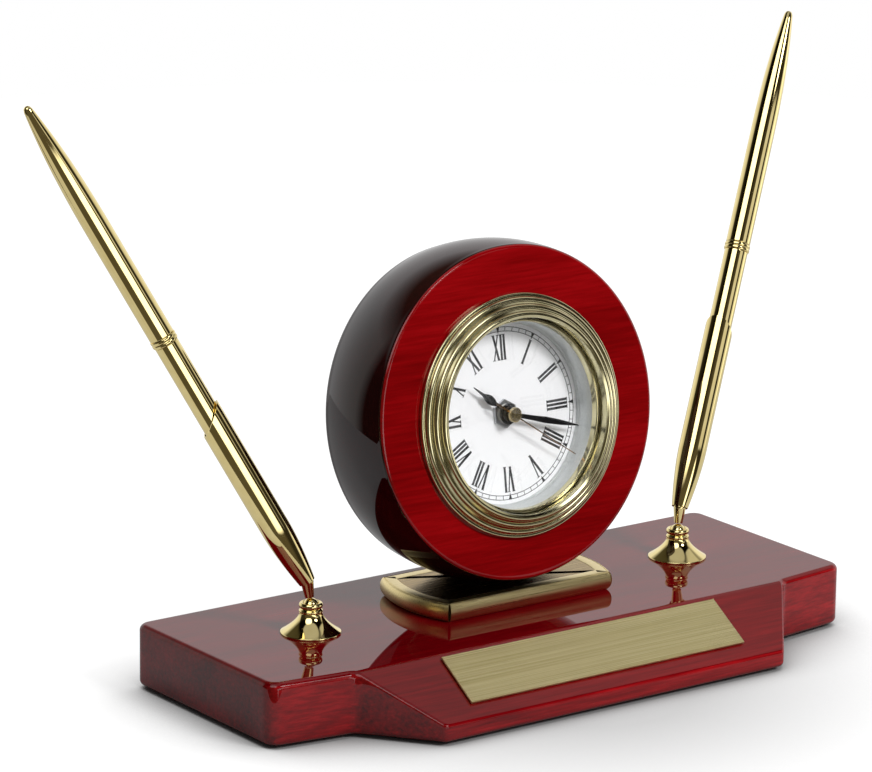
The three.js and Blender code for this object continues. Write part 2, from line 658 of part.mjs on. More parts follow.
function buildInsertShell(frame) {
  const mouth = BEZEL_MOUTH_RADIUS;
  const bezel = turned([
    [BEZEL_SKIRT_RADIUS, SEAT_GAP],
    ...bezelFront(),
    [mouth, BEZEL_HEIGHT - 0.5],
    [mouth, -BEZEL_SKIRT_DEPTH],
    [BEZEL_SKIRT_RADIUS, -BEZEL_SKIRT_DEPTH],
  ], ROUND_LARGE);
  add(frame, 'bezel', bezel, bezelGold);

  const lensRadius = mouth - RUNNING_GAP;
  add(frame, 'lens', rod(lensRadius, lensBottom, lensTop, ROUND_LARGE), clearLens);

  const reflectorTop = lensBottom - SEAT_GAP;
  const reflectorFoot = dialFront + SEAT_GAP;
  add(frame, 'reflector_ring', turned([
    [lensRadius, reflectorFoot], [lensRadius, reflectorTop], [lensRadius - REFLECTOR_WALL, reflectorTop],
    [DIAL_WINDOW_RADIUS, reflectorFoot],
  ], ROUND_LARGE), silver);

  add(frame, 'dial', ring(neckRadius + RUNNING_GAP, lensRadius, dialBack, dialFront, ROUND_LARGE), dialWhite);

  const [cupTop, cupFoot] = [-BEZEL_SKIRT_DEPTH - RUNNING_GAP, -CUP_DEPTH];
  const cupBore = BEZEL_SKIRT_RADIUS - CUP_WALL;
  add(frame, 'insert_cup', turned([
    [BEZEL_SKIRT_RADIUS, cupFoot], [BEZEL_SKIRT_RADIUS, cupTop], [cupBore, cupTop], [cupBore, cupFoot + CUP_WALL],
    [CUP_WINDOW_RADIUS, cupFoot + CUP_WALL], [CUP_WINDOW_RADIUS, cupFoot],
  ], ROUND_LARGE), blackPlastic);

  add(frame, 'rubber_band', ring(BEZEL_SKIRT_RADIUS + SEAT_GAP, CASE_BORE_RADIUS - SEAT_GAP,
    -BAND_DEPTH - BAND_WIDTH, -BAND_DEPTH, ROUND_LARGE), blackRubber);
}

// Movement

const movementOutline = (shrink) => {
  const half = MOVEMENT_WIDTH / 2 - shrink;
  const radius = MOVEMENT_CORNER_RADIUS - shrink;
  return roundedOutline([[half, -half], [half, half], [-half, half], [-half, -half]]
    .map(([x, y]) => [x, y, radius]), EDGE_STEPS);
};

function buildMovementShell(frame) {
  const room = movementFront - MOVEMENT_WALL;
  const shell = cut(prism(movementOutline(0), movementBack, movementFront),
    prism(movementOutline(MOVEMENT_WALL), movementBack - 1, room));
  const neck = rod(neckRadius, room, dialFront + NECK_LENGTH);
  const post = moved(rod(WHEEL_POST_RADIUS, setWheelBack + RUNNING_GAP, room + MOVEMENT_WALL / 2, 12), 0, -CENTRE_DISTANCE, 0);
  const bore = rod(neckRadius - NECK_WALL, movementBack, dialFront + NECK_LENGTH + 1);
  add(frame, 'movement_case', join(cut(join(shell, neck), bore), post), whitePlastic);

  const cover = cut(prism(movementOutline(0), coverBack, movementBack - SEAT_GAP),
    moved(rod(SET_STEM_RADIUS + RUNNING_GAP, coverBack - 1, movementBack), 0, -CENTRE_DISTANCE, 0),
    moved(rod(CELL_RADIUS + RUNNING_GAP, coverBack - 1, movementBack, ROUND_MEDIUM), CELL_PLACE.x, CELL_PLACE.y, 0));
  add(frame, 'movement_cover', cover, whitePlastic);

  const nutHole = neckRadius + THREAD_GAP;
  const nut = cut(rod(DIAL_NUT_RADIUS, dialFront + SEAT_GAP, dialFront + SEAT_GAP + DIAL_NUT_HEIGHT, 6),
    rod(nutHole, dialFront - 1, dialFront + DIAL_NUT_HEIGHT + 1));
  add(frame, 'dial_nut', nut, copperGold);
}

function buildMovementParts(frame) {
  const room = movementFront - MOVEMENT_WALL;
  const inner = MOVEMENT_WIDTH / 2 - MOVEMENT_WALL;
  const boardFront = room - SEAT_GAP;
  const boardY = inner - RUNNING_GAP - BOARD_HEIGHT / 2;
  const board = new THREE.BoxGeometry(BOARD_WIDTH, BOARD_HEIGHT, BOARD_THICKNESS);
  add(frame, 'circuit_board', moved(board, 0, boardY, boardFront - BOARD_THICKNESS / 2), greenBoard);

  const crystal = rod(CRYSTAL_RADIUS, -CRYSTAL_LENGTH / 2, CRYSTAL_LENGTH / 2, 12).rotateY(Math.PI / 2);
  const crystalZ = boardFront - BOARD_THICKNESS - SEAT_GAP - CRYSTAL_RADIUS;
  add(frame, 'quartz_crystal', moved(crystal, BOARD_WIDTH / 5, boardY, crystalZ), steel);

  const [half, flange] = [COIL_LENGTH / 2, COIL_FLANGE_THICKNESS];
  const coil = turned([
    [0, -half], [COIL_FLANGE_RADIUS, -half], [COIL_FLANGE_RADIUS, flange - half], [COIL_RADIUS, flange - half],
    [COIL_RADIUS, half - flange], [COIL_FLANGE_RADIUS, half - flange], [COIL_FLANGE_RADIUS, half], [0, half],
  ], ROUND_SMALL).rotateX(Math.PI / 2);
  const coilZ = room - SEAT_GAP - COIL_FLANGE_RADIUS;
  add(frame, 'motor_coil', moved(coil, COIL_PLACE.x, COIL_PLACE.y, coilZ), copperWire);

  const cellBack = coverBack + SEAT_GAP;
  const cell = rod(CELL_RADIUS, cellBack, cellBack + CELL_THICKNESS, ROUND_MEDIUM);
  add(frame, 'button_cell', moved(cell, CELL_PLACE.x, CELL_PLACE.y, 0), steel);

  const strapLength = 2 * CELL_RADIUS + 3;
  const strap = new THREE.BoxGeometry(STRAP_WIDTH, strapLength, STRAP_THICKNESS);
  add(frame, 'cell_strap', moved(strap, CELL_PLACE.x, CELL_PLACE.y, coverBack - SEAT_GAP - STRAP_THICKNESS / 2), steel);
}

// Wheels and hands. Each is drawn pointing at the twelve and turned clockwise to the shown time.

const clockwise = (share) => -2 * Math.PI * share;
const hourShare = (SHOWN_HOUR + SHOWN_MINUTE / 60) / 12;
const minuteShare = SHOWN_MINUTE / 60;
const secondShare = SHOWN_SECOND / 60;
const pitchRadius = (teeth, partner) => (CENTRE_DISTANCE * teeth) / (teeth + partner);
const hourWheelFront = movementFront - MOVEMENT_WALL - 2 * RUNNING_GAP;
const cannonPinionFront = hourWheelFront - WHEEL_THICKNESS - 2 * RUNNING_GAP;
const setWheelBack = cannonPinionFront - WHEEL_THICKNESS;

const tube = (radius, low, high) => ring(radius - TUBE_WALL, radius, low, high, ROUND_SMALL);

function buildMotionWork(frame) {
  const hourHandTop = dialFront + HOUR_HAND_HEIGHT + HAND_THICKNESS;
  const hourWheelBack = hourWheelFront - WHEEL_THICKNESS;
  const hourPitch = pitchRadius(HOUR_WHEEL_TEETH, SET_PINION_TEETH);
  const hourTube = tube(hourTubeRadius, hourWheelBack, hourHandTop + SEAT_GAP);
  const hourBore = hourTubeRadius - TUBE_WALL / 2;
  const hourDisc = toothedDisc(HOUR_WHEEL_TEETH, hourPitch, hourBore, hourWheelBack, hourWheelFront, -90);
  add(frame, 'hour_wheel', join(hourTube, hourDisc), steel);

  const minuteHandTop = dialFront + MINUTE_HAND_HEIGHT + HAND_THICKNESS;
  const cannonPitch = pitchRadius(CANNON_TEETH, SET_WHEEL_TEETH);
  const minuteTube = tube(minuteTubeRadius, setWheelBack, minuteHandTop + SEAT_GAP);
  const minuteBore = minuteTubeRadius - TUBE_WALL / 2;
  const pinion = toothedDisc(CANNON_TEETH, cannonPitch, minuteBore, setWheelBack, cannonPinionFront, -90);
  add(frame, 'cannon_pinion', join(minuteTube, pinion), steel);

  const wheelPitch = pitchRadius(SET_WHEEL_TEETH, CANNON_TEETH);
  const pinionPitch = pitchRadius(SET_PINION_TEETH, HOUR_WHEEL_TEETH);
  const postBore = WHEEL_POST_RADIUS + RUNNING_GAP;
  const overlap = 0.2;
  const wheel = toothedDisc(SET_WHEEL_TEETH, wheelPitch, postBore, setWheelBack, cannonPinionFront,
    90 + 180 / SET_WHEEL_TEETH);
  const setPinion = toothedDisc(SET_PINION_TEETH, pinionPitch, postBore, cannonPinionFront - overlap,
    hourWheelFront, 90 + 180 / SET_PINION_TEETH);
  add(frame, 'set_wheel', moved(join(wheel, setPinion), 0, -CENTRE_DISTANCE, 0), whitePlastic);

  const stemTop = setWheelBack - SEAT_GAP;
  const knobFront = coverBack - RUNNING_GAP;
  const knobBack = knobFront - SET_KNOB_HEIGHT;
  const knob = toothedDisc(SET_KNOB_NOTCHES, SET_KNOB_RADIUS, 0, knobBack, knobFront, 0);
  const stem = rod(SET_STEM_RADIUS, knobBack + 1, stemTop);
  add(frame, 'set_knob', moved(join(knob, stem), 0, -CENTRE_DISTANCE, 0), blackPlastic);

  const arborFoot = movementBack + RUNNING_GAP;
  const secondHandTop = dialFront + SECOND_HAND_HEIGHT;
  const wheelFront = setWheelBack - 3 * RUNNING_GAP;
  const arbor = rod(SECOND_ARBOR_RADIUS, arborFoot, secondHandTop - SEAT_GAP, 12);
  const secondDisc = toothedDisc(SECOND_WHEEL_TEETH, SECOND_WHEEL_RADIUS, 0, wheelFront - WHEEL_THICKNESS,
    wheelFront, 0);
  add(frame, 'second_wheel', join(arbor, secondDisc), steel);
}

// A flat hand: an outline of [half width, distance from the arbor], mirrored, with a round hub and a hole.
function hand(sideProfile, hubRadius, holeRadius, low, share) {
  const right = sideProfile.map(([x, y]) => new THREE.Vector2(x, y));
  const left = sideProfile.filter(([x]) => x > 0).map(([x, y]) => new THREE.Vector2(-x, y)).reverse();
  const high = low + HAND_THICKNESS;
  const blade = prism([...right, ...left], low, high);
  const whole = join(blade, rod(hubRadius, low, high));
  const drilled = holeRadius > 0 ? cut(whole, rod(holeRadius, low - 1, high + 1)) : whole;
  return drilled.rotateZ(clockwise(share));
}

function buildHands(frame) {
  const hourHole = hourTubeRadius + SEAT_GAP;
  const hour = HOUR_HAND_LENGTH;
  add(frame, 'hour_hand', hand(
    [[0.5, 0], [0.45, hour * 0.4], [1.35, hour * 0.55], [0.9, hour * 0.68], [0.35, hour * 0.8], [0, hour]],
    hourHole + HUB_WIDTH, hourHole, dialFront + HOUR_HAND_HEIGHT, hourShare), blackPaint);

  const minuteHole = minuteTubeRadius + SEAT_GAP;
  const minute = MINUTE_HAND_LENGTH;
  add(frame, 'minute_hand', hand(
    [[0.45, 0], [0.5, minute * 0.35], [0.85, minute * 0.5], [0.6, minute * 0.75], [0, minute]],
    minuteHole + HUB_WIDTH, minuteHole, dialFront + MINUTE_HAND_HEIGHT, minuteShare), blackPaint);

  const second = SECOND_HAND_LENGTH;
  add(frame, 'second_hand', hand(
    [[0.3, -SECOND_HAND_TAIL], [0.22, 0], [0.12, second]],
    SECOND_ARBOR_RADIUS + HUB_WIDTH, 0, dialFront + SECOND_HAND_HEIGHT, secondShare), copperGold);

  const capFoot = dialFront + SECOND_HAND_HEIGHT + HAND_THICKNESS + SEAT_GAP;
  const dome = arc(0, 0, 1, 0, 90, 4).map(([c, s]) =>
    [HAND_CAP_RADIUS * c, capFoot + HAND_CAP_HEIGHT * (0.5 + 0.5 * s)]);
  dome[dome.length - 1][0] = 0;
  add(frame, 'hand_cap', turned([[0, capFoot], [HAND_CAP_RADIUS, capFoot], ...dome], ROUND_SMALL), copperGold);
}

// Pen holders

function buildBell(parent, { name, sign }) {
  const foot = new THREE.Group();
  foot.position.set(sign * holderX, holderY, slabTop);
  parent.add(foot);
  const ballRoom = BALL_RADIUS + RUNNING_GAP - 0.05;
  const lip = BALL_RADIUS - 0.08;
  const shelf = BALL_HEIGHT - BALL_RADIUS - RUNNING_GAP - STUD_HEAD_HEIGHT - SEAT_GAP;
  const waist = BELL_HEIGHT - COLLAR_HEIGHT;
  const flare = Array.from({ length: 6 }, (_, i) => {
    const share = i / 5;
    const radius = COLLAR_RADIUS + (BELL_RADIUS - COLLAR_RADIUS) * (1 - share) ** 1.7;
    return [radius, BELL_RIM_THICKNESS + (waist - BELL_RIM_THICKNESS) * share];
  });
  const neck = COLLAR_RADIUS - 0.3;
  const bead = COLLAR_HEIGHT / 4;
  const bell = turned([
    [BELL_RADIUS, 0], ...flare,
    [COLLAR_RADIUS, waist + bead], [neck, waist + 1.3 * bead], [neck, waist + 1.7 * bead],
    [COLLAR_RADIUS, waist + 2 * bead],
    ...arc(COLLAR_RADIUS - 0.5, BELL_HEIGHT - 0.5, 0.5, 0, 90, 2),
    [lip + 0.1, BELL_HEIGHT], [lip, BELL_HEIGHT - 0.4],
    [ballRoom, BELL_HEIGHT - 0.7], [ballRoom, shelf],
    [STUD_RADIUS + BORE_GAP / 2, shelf], [STUD_RADIUS + BORE_GAP / 2, shelf - 0.8],
    [COLLAR_RADIUS + 0.1, shelf - 1.2], [COLLAR_RADIUS + 1.4, shelf - 2.3], [BELL_RADIUS - 1, 0],
  ], ROUND_MEDIUM);
  add(foot, `${name}_bell`, bell, polishedGold);

  const headFoot = shelf + SEAT_GAP;
  const studEnd = slabBottom - slabTop + 2.5;
  add(foot, `${name}_stud`, turned([
    [0, studEnd], [STUD_RADIUS, studEnd], [STUD_RADIUS, headFoot], [BALL_RADIUS, headFoot],
    [BALL_RADIUS, headFoot + STUD_HEAD_HEIGHT], [0, headFoot + STUD_HEAD_HEIGHT],
  ], ROUND_SMALL), steel);

  const washerTop = slabBottom - slabTop + STUD_SINK - SEAT_GAP;
  const hole = STUD_RADIUS + BORE_GAP;
  add(foot, `${name}_washer`, ring(hole, WASHER_RADIUS, washerTop - WASHER_THICKNESS, washerTop, ROUND_SMALL), steel);

  const nutTop = washerTop - WASHER_THICKNESS - SEAT_GAP;
  const nut = cut(rod(NUT_RADIUS, nutTop - NUT_HEIGHT, nutTop, 6),
    rod(STUD_RADIUS + THREAD_GAP, nutTop - NUT_HEIGHT - 1, nutTop + 1));
  add(foot, `${name}_nut`, nut, steel);
}

// A group at the swivel's centre that leans towards the pen's side.
function leaning(sign, lean) {
  const group = new THREE.Group();
  const heading = sign > 0 ? PEN_HEADING : Math.PI - PEN_HEADING;
  group.rotation.set(0, lean, heading, 'ZYX');
  return group;
}

// Radius of a form that swells from its end to its full radius over a length.
const swelling = (end, full, length, power, height) =>
  full - (full - end) * (1 - Math.min(height / length, 1)) ** power;

function buildHolder(parent, { name, sign }) {
  const swivel = new THREE.Group();
  swivel.position.set(sign * holderX, holderY, ballZ);
  parent.add(swivel);

  const ballProfile = arc(0, 0, BALL_RADIUS, -90, 90, 6);
  ballProfile[0][0] = 0;
  ballProfile[6][0] = 0;
  add(swivel, `${name}_ball`, turned(ballProfile, ROUND_SMALL), polishedGold);

  const stemAxis = leaning(sign, STEM_LEAN);
  swivel.add(stemAxis);
  const stemFoot = BALL_RADIUS + RUNNING_GAP;
  const stemTop = arc(0, STEM_LENGTH, STEM_TOP_RADIUS, 0, 90, 4);
  stemTop[4][0] = 0;
  add(stemAxis, `${name}_stem`, turned([[0, stemFoot], [STEM_FOOT_RADIUS, stemFoot], ...stemTop], ROUND_SMALL),
    polishedGold);

  const sleeveAxis = leaning(sign, PEN_LEAN);
  const heading = sign > 0 ? PEN_HEADING : Math.PI - PEN_HEADING;
  const reach = STEM_LENGTH * Math.sin(STEM_LEAN);
  sleeveAxis.position.set(reach * Math.cos(heading), reach * Math.sin(heading), STEM_LENGTH * Math.cos(STEM_LEAN));
  swivel.add(sleeveAxis);
  buildSleeve(sleeveAxis, name);
  buildPen(sleeveAxis, name);
}

// The sleeve is cut off at a slope, so that its mouth stands higher on the side towards the clock.
function buildSleeve(axis, name) {
  const top = SLEEVE_LENGTH + 2 * SLEEVE_RADIUS;
  const outside = Array.from({ length: 7 }, (_, i) => {
    const height = (SLEEVE_TAPER_LENGTH * i) / 6;
    return [swelling(SLEEVE_END_RADIUS, SLEEVE_RADIUS, SLEEVE_TAPER_LENGTH, 1.7, height), height];
  });
  const socket = SLEEVE_END_RADIUS - SLEEVE_END_WALL;
  const blank = turned([
    ...outside, [SLEEVE_RADIUS, top], [SLEEVE_BORE_RADIUS, top], [SLEEVE_BORE_RADIUS, SLEEVE_TAPER_LENGTH],
    [socket + 0.5, 5], [socket, 2.6], [socket, 0],
  ], ROUND_SMALL + CORNER_STEPS);
  const size = 8 * SLEEVE_RADIUS;
  const waste = new THREE.BoxGeometry(size, size, size).translate(0, 0, size / 2)
    .rotateY(MOUTH_SLOPE).translate(0, 0, SLEEVE_LENGTH);
  add(axis, `${name}_sleeve`, cut(blank, waste), polishedGold);
}

function buildPen(axis, name) {
  const bore = PEN_LOWER_RADIUS - PEN_WALL;
  const noseTop = PEN_NOSE_HEIGHT + PEN_NOSE_LENGTH;
  const noseEnd = REFILL_POINT_RADIUS + 0.6;
  const refillBore = REFILL_RADIUS + RUNNING_GAP;
  add(axis, `${name}_pen_nose`, turned([
    [REFILL_POINT_RADIUS + RUNNING_GAP, PEN_NOSE_HEIGHT], [noseEnd, PEN_NOSE_HEIGHT],
    [PEN_LOWER_RADIUS, noseTop], [refillBore, noseTop], [refillBore, PEN_NOSE_HEIGHT + 5],
    [REFILL_POINT_RADIUS + RUNNING_GAP, PEN_NOSE_HEIGHT + 3],
  ], ROUND_SMALL), polishedGold);

  add(axis, `${name}_pen_lower_barrel`,
    ring(bore, PEN_LOWER_RADIUS, noseTop + SEAT_GAP, PEN_RING_HEIGHT - SEAT_GAP, ROUND_SMALL), polishedGold);

  const [low, high] = [PEN_RING_HEIGHT, PEN_RING_HEIGHT + PEN_RING_LENGTH];
  const groove = PEN_RING_RADIUS - 0.15;
  const middle = (low + high) / 2;
  add(axis, `${name}_pen_ring`, turned([
    [bore, low], [groove, low], [PEN_RING_RADIUS, low + 0.2], [PEN_RING_RADIUS, middle - 0.2], [groove, middle],
    [PEN_RING_RADIUS, middle + 0.2], [PEN_RING_RADIUS, high - 0.2], [groove, high], [bore, high],
  ], ROUND_SMALL), polishedGold);

  const foot = high + SEAT_GAP;
  const shoulder = PEN_TOP - PEN_TAPER_LENGTH;
  const taper = Array.from({ length: 9 }, (_, i) => {
    const share = 1 - (1 - i / 8) ** 1.6;
    const height = PEN_TAPER_LENGTH * (1 - share);
    return [swelling(PEN_TIP_RADIUS, PEN_UPPER_RADIUS, PEN_TAPER_LENGTH, 2.45, height), PEN_TOP - height];
  }).slice(0, -1);
  const tip = arc(0, PEN_TOP - PEN_TIP_RADIUS, PEN_TIP_RADIUS + 0.1, 20, 90, 3);
  tip[3][0] = 0;
  const crown = taper.filter(([, height]) => height < tip[0][1] - 0.4);
  add(axis, `${name}_pen_upper_barrel`, turned([
    [0, PEN_TOP - PEN_CROWN_LENGTH], [bore, shoulder], [bore, foot], [PEN_UPPER_RADIUS, foot], ...crown, ...tip,
  ], ROUND_SMALL), polishedGold);

  add(axis, `${name}_pen_refill`, turned([
    [0, PEN_TIP_HEIGHT], [REFILL_POINT_RADIUS, PEN_TIP_HEIGHT + 0.4], [REFILL_POINT_RADIUS, PEN_NOSE_HEIGHT + 3.4],
    [REFILL_RADIUS, PEN_NOSE_HEIGHT + 5.4], [REFILL_RADIUS, REFILL_TOP], [0, REFILL_TOP],
  ], 12), copperGold);
}

// Assembly

const deskClockPenSet = new THREE.Group();
deskClockPenSet.name = 'desk_clock_pen_set';
buildBaseBlock(deskClockPenSet);
buildFeltPad(deskClockPenSet);
buildNameplate(deskClockPenSet);
buildPlinth(deskClockPenSet);
buildCaseScrews(deskClockPenSet);
const clock = clockFrame();
deskClockPenSet.add(clock);
buildClockCase(clock);
buildInsertShell(clock);
buildMovementShell(clock);
buildMovementParts(clock);
buildMotionWork(clock);
buildHands(clock);
for (const side of sides) {
  buildBell(deskClockPenSet, side);
  buildHolder(deskClockPenSet, side);
}

export default deskClockPenSet;
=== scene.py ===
# %% [markdown]
# # A desk clock pen set in Blender
# The real object is a gloss rosewood stand with a brass plinth, a round wooden clock that leans back on
# it, and two gold pens in swivel holders. The solids come from a CAD model in one shared frame: metres,
# +Z up, -Y towards the reader. This file gives them fine surfaces, finishes, light and a camera.

import bpy
import numpy as np
from mathutils import Matrix, Vector


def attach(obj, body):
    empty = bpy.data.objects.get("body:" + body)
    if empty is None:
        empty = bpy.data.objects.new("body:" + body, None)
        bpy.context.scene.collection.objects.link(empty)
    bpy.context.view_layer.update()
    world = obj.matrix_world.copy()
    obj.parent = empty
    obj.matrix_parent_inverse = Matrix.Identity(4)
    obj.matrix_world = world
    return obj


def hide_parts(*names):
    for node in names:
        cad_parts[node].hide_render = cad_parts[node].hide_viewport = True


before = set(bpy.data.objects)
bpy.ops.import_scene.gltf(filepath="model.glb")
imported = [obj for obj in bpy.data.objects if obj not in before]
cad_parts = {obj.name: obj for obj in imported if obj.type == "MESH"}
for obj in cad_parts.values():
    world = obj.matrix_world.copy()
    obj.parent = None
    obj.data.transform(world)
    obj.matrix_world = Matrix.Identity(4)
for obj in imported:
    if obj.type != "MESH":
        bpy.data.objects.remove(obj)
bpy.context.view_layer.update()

# %% [markdown]
# ## The camera
# A camera is best made first, because every later choice is judged through it. The photograph was taken
# with a long lens from the reader's left and a little above. A long lens keeps parallel edges nearly
# parallel, which a short one close by would not, so the focal length matters as much as the angle.

# %% Place the camera
view_azimuth, view_elevation, view_roll = np.radians([36.34, 14.72, 0.72])
view_distance = 1.3955
view_target = Vector((0.00443, 0.04857, 0.07185))
towards_camera = Vector((
    -np.sin(view_azimuth) * np.cos(view_elevation),
    -np.cos(view_azimuth) * np.cos(view_elevation),
    np.sin(view_elevation),
))
camera = bpy.data.objects.new("camera", bpy.data.cameras.new("camera"))
bpy.context.scene.collection.objects.link(camera)
camera.location = view_target + towards_camera * view_distance
upright = (-towards_camera).to_track_quat("-Z", "Y").to_matrix().to_4x4()
camera.matrix_world = Matrix.Translation(camera.location) @ upright @ Matrix.Rotation(view_roll, 4, "Z")
camera.data.sensor_width = 36
camera.data.lens = 197.2
camera.data.clip_start, camera.data.clip_end = 0.05, 50
bpy.context.scene.camera = camera
print("camera at", [round(v, 3) for v in camera.location])

# %% [markdown]
# ## Surfaces from numpy
# Three kinds of surface make nearly every piece here. A turned piece is a profile spun about an axis, as on
# a lathe. A run is a section carried along a path, as moulding is. A slab is an outline stacked in layers.
# All three are grids of points, so one function can join neighbours into four-sided faces.

# %% Join a grid of points into faces
MM = 0.001


def grid_faces(rows, columns, wrap_rows=False, wrap_columns=False):
    """Point (i, j) of a grid is number i * columns + j. Each face joins (i, j), (i, j+1), (i+1, j+1) and
    (i+1, j), and a wrapped direction joins its last row or column to its first."""
    i = np.arange(rows if wrap_rows else rows - 1)[:, None]
    j = np.arange(columns if wrap_columns else columns - 1)[None, :]
    below, beside = (i + 1) % rows, (j + 1) % columns
    corners = [i * columns + j, i * columns + beside, below * columns + beside, below * columns + j]
    return np.stack(corners, axis=-1).reshape(-1, 4)


def outward(points, faces):
    """Turns every face over if the volume that they enclose, summed face by face as corner . (corner x
    corner), comes out negative."""
    volume = 0.0
    for face in faces:
        corner = points[np.asarray(face)]
        fan = np.cross(corner[1:-1], corner[2:])
        volume += float((fan @ corner[0]).sum())
    return [list(face)[::-1] for face in faces] if volume < 0 else [list(face) for face in faces]


print("a 4 by 5 grid closed both ways has", len(grid_faces(4, 5, True, True)), "faces")

# %% [markdown]
# A lathe profile drawn with sharp corners looks like plastic cut with a knife. Real edges are rounded, if
# only by the polish, and the rounding is what catches the light. So every corner can carry a radius.


# %% Round the corners of a path
def rounded(corners, steps=6, closed=False):
    """Corners are (x, y, radius). Each is replaced by an arc that touches both its sides: it starts
    radius / tan(half the angle) before the corner and turns about a centre on the bisector."""
    corners = [tuple(c) + (0.0,) * (3 - len(c)) for c in corners]
    path = []
    for k, (x, y, radius) in enumerate(corners):
        here = np.array([x, y])
        at_end = not closed and k in (0, len(corners) - 1)
        if radius == 0 or at_end:
            path.append(here[None])
            continue
        back = np.array(corners[k - 1][:2]) - here
        ahead = np.array(corners[(k + 1) % len(corners)][:2]) - here
        back, ahead = back / np.linalg.norm(back), ahead / np.linalg.norm(ahead)
        half = np.arccos(np.clip(back @ ahead, -1, 1)) / 2
        bisector = (back + ahead) / np.linalg.norm(back + ahead)
        centre = here + bisector * radius / np.sin(half)
        start = here + back * radius / np.tan(half) - centre
        end = here + ahead * radius / np.tan(half) - centre
        first = np.arctan2(start[1], start[0])
        sweep = (np.arctan2(end[1], end[0]) - first + np.pi) % (2 * np.pi) - np.pi
        turn = first + sweep * np.linspace(0, 1, steps + 1)
        path.append(centre + radius * np.stack([np.cos(turn), np.sin(turn)], axis=1))
    return np.vstack(path)


def arc(x, y, radius, start, end, steps=8):
    """Points at radius from (x, y), at even steps from one angle to the other, in degrees."""
    turn = np.radians(np.linspace(start, end, steps + 1))
    return np.stack([x + radius * np.cos(turn), y + radius * np.sin(turn)], axis=1)


print("a square with one rounded corner:", len(rounded([(0, 0), (1, 0, 0.2), (1, 1), (0, 1)])), "points")

# %% Spin a profile
def turned(profile, steps=96):
    """Spins (radius, height) pairs about the Z axis: point (i, j) is (r cos t, r sin t, z), where t is
    2 pi j / steps. A profile whose ends lie on the axis closes there at two poles; any other on itself."""
    profile = np.asarray(profile, float)
    polar = profile[0, 0] == 0 and profile[-1, 0] == 0
    body = profile[1:-1] if polar else profile
    turn = np.linspace(0, 2 * np.pi, steps, endpoint=False)
    ring = np.stack([np.cos(turn), np.sin(turn), np.zeros(steps)], axis=1)
    points = (body[:, :1, None] * ring + body[:, 1:, None] * np.array([0, 0, 1.0])).reshape(-1, 3)
    faces = grid_faces(len(body), steps, wrap_rows=not polar, wrap_columns=True).tolist()
    if polar:
        step = np.arange(steps)
        last = (len(body) - 1) * steps
        poles = np.array([[0, 0, profile[0, 1]], [0, 0, profile[-1, 1]]])
        low, high = len(points), len(points) + 1
        faces += np.stack([step, np.full(steps, low), (step + 1) % steps], axis=1).tolist()
        faces += np.stack([last + (step + 1) % steps, np.full(steps, high), last + step], axis=1).tolist()
        points = np.vstack([points, poles])
    return points, faces


def held(profile, longest=3.0, margin=0.15):
    """Adds a point near both ends of each long straight step. Smooth shading blends the normals at a corner
    over the whole face beside it, so without these a tube would shade as if it were a barrel."""
    profile = np.asarray(profile, float)
    pieces = [profile[:1]]
    for start, end in zip(profile[:-1], profile[1:]):
        length = np.linalg.norm(end - start)
        if length > longest:
            step = (end - start) * margin / length
            pieces.append(np.stack([start + step, end - step]))
        pieces.append(end[None])
    return np.vstack(pieces)


tube_points, tube_faces = turned(held([(1, 0), (2, 0), (2, 10), (1, 10)]), 4)
print("a tube spun in 4 steps has", len(tube_points), "points and", len(tube_faces), "faces")


# %% Stack rings
def stacked(rings):
    """Rings with the same number of points are joined into a wall, and the first and last are closed."""
    count, size = len(rings), len(rings[0])
    faces = grid_faces(count, size, wrap_columns=True).tolist()
    faces += [list(range(size))[::-1], [(count - 1) * size + k for k in range(size)]]
    return np.concatenate(rings), faces


squares = [[(0, 0, z), (1, 0, z), (1, 1, z), (0, 1, z)] for z in range(3)]
print("three stacked squares have", len(stacked(squares)[1]), "faces")

# %% [markdown]
# A piece is worked out in its own small frame, in millimetres, and a matrix then takes its points to their
# place. The object itself stays at the origin, so that a pattern in object coordinates means real
# millimetres in the shared frame, and so that the piece can ride on its CAD body without a jump.


# %% Put a piece in place
def placed(points, matrix=None):
    """Multiplies each point by a 4 x 4 matrix, in millimetres, and scales the result to metres."""
    points = np.asarray(points, float)
    if matrix is not None:
        points = points @ matrix[:3, :3].T + matrix[:3, 3]
    return points * MM


def make_piece(name, points, faces, finish, body, slot, replaces=(), sharp=40, face_finish=None):
    """Makes a mesh object, smooth but for edges sharper than an angle, and ties it to its body."""
    mesh = bpy.data.meshes.new(name)
    mesh.from_pydata(points.tolist(), [], outward(points, faces))
    mesh.update()
    mesh.shade_smooth()
    mesh.set_sharp_from_angle(angle=np.radians(sharp))
    for material in [finish] if not isinstance(finish, (list, tuple)) else finish:
        mesh.materials.append(material)
    if face_finish is not None:
        mesh.polygons.foreach_set("material_index", face_finish)
    piece = bpy.data.objects.new(name, mesh)
    bpy.context.scene.collection.objects.link(piece)
    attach(piece, body)
    if replaces:
        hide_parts(*replaces)
    print(f"{name}: {len(mesh.polygons)} faces")
    return piece


def turn_matrix(axis, angle):
    """A 4 x 4 turn about X, Y or Z by an angle in radians."""
    return np.array(Matrix.Rotation(angle, 4, axis))


def move_matrix(x, y, z):
    """A 4 x 4 move."""
    return np.array(Matrix.Translation((x, y, z)))


# %% [markdown]
# ## Colours and shader nodes
# Colours are chosen as screen colours, in hex, but shaders add light in linear values. One function makes
# the change, and one more adds a node with its settings, so that a material reads as a short recipe.


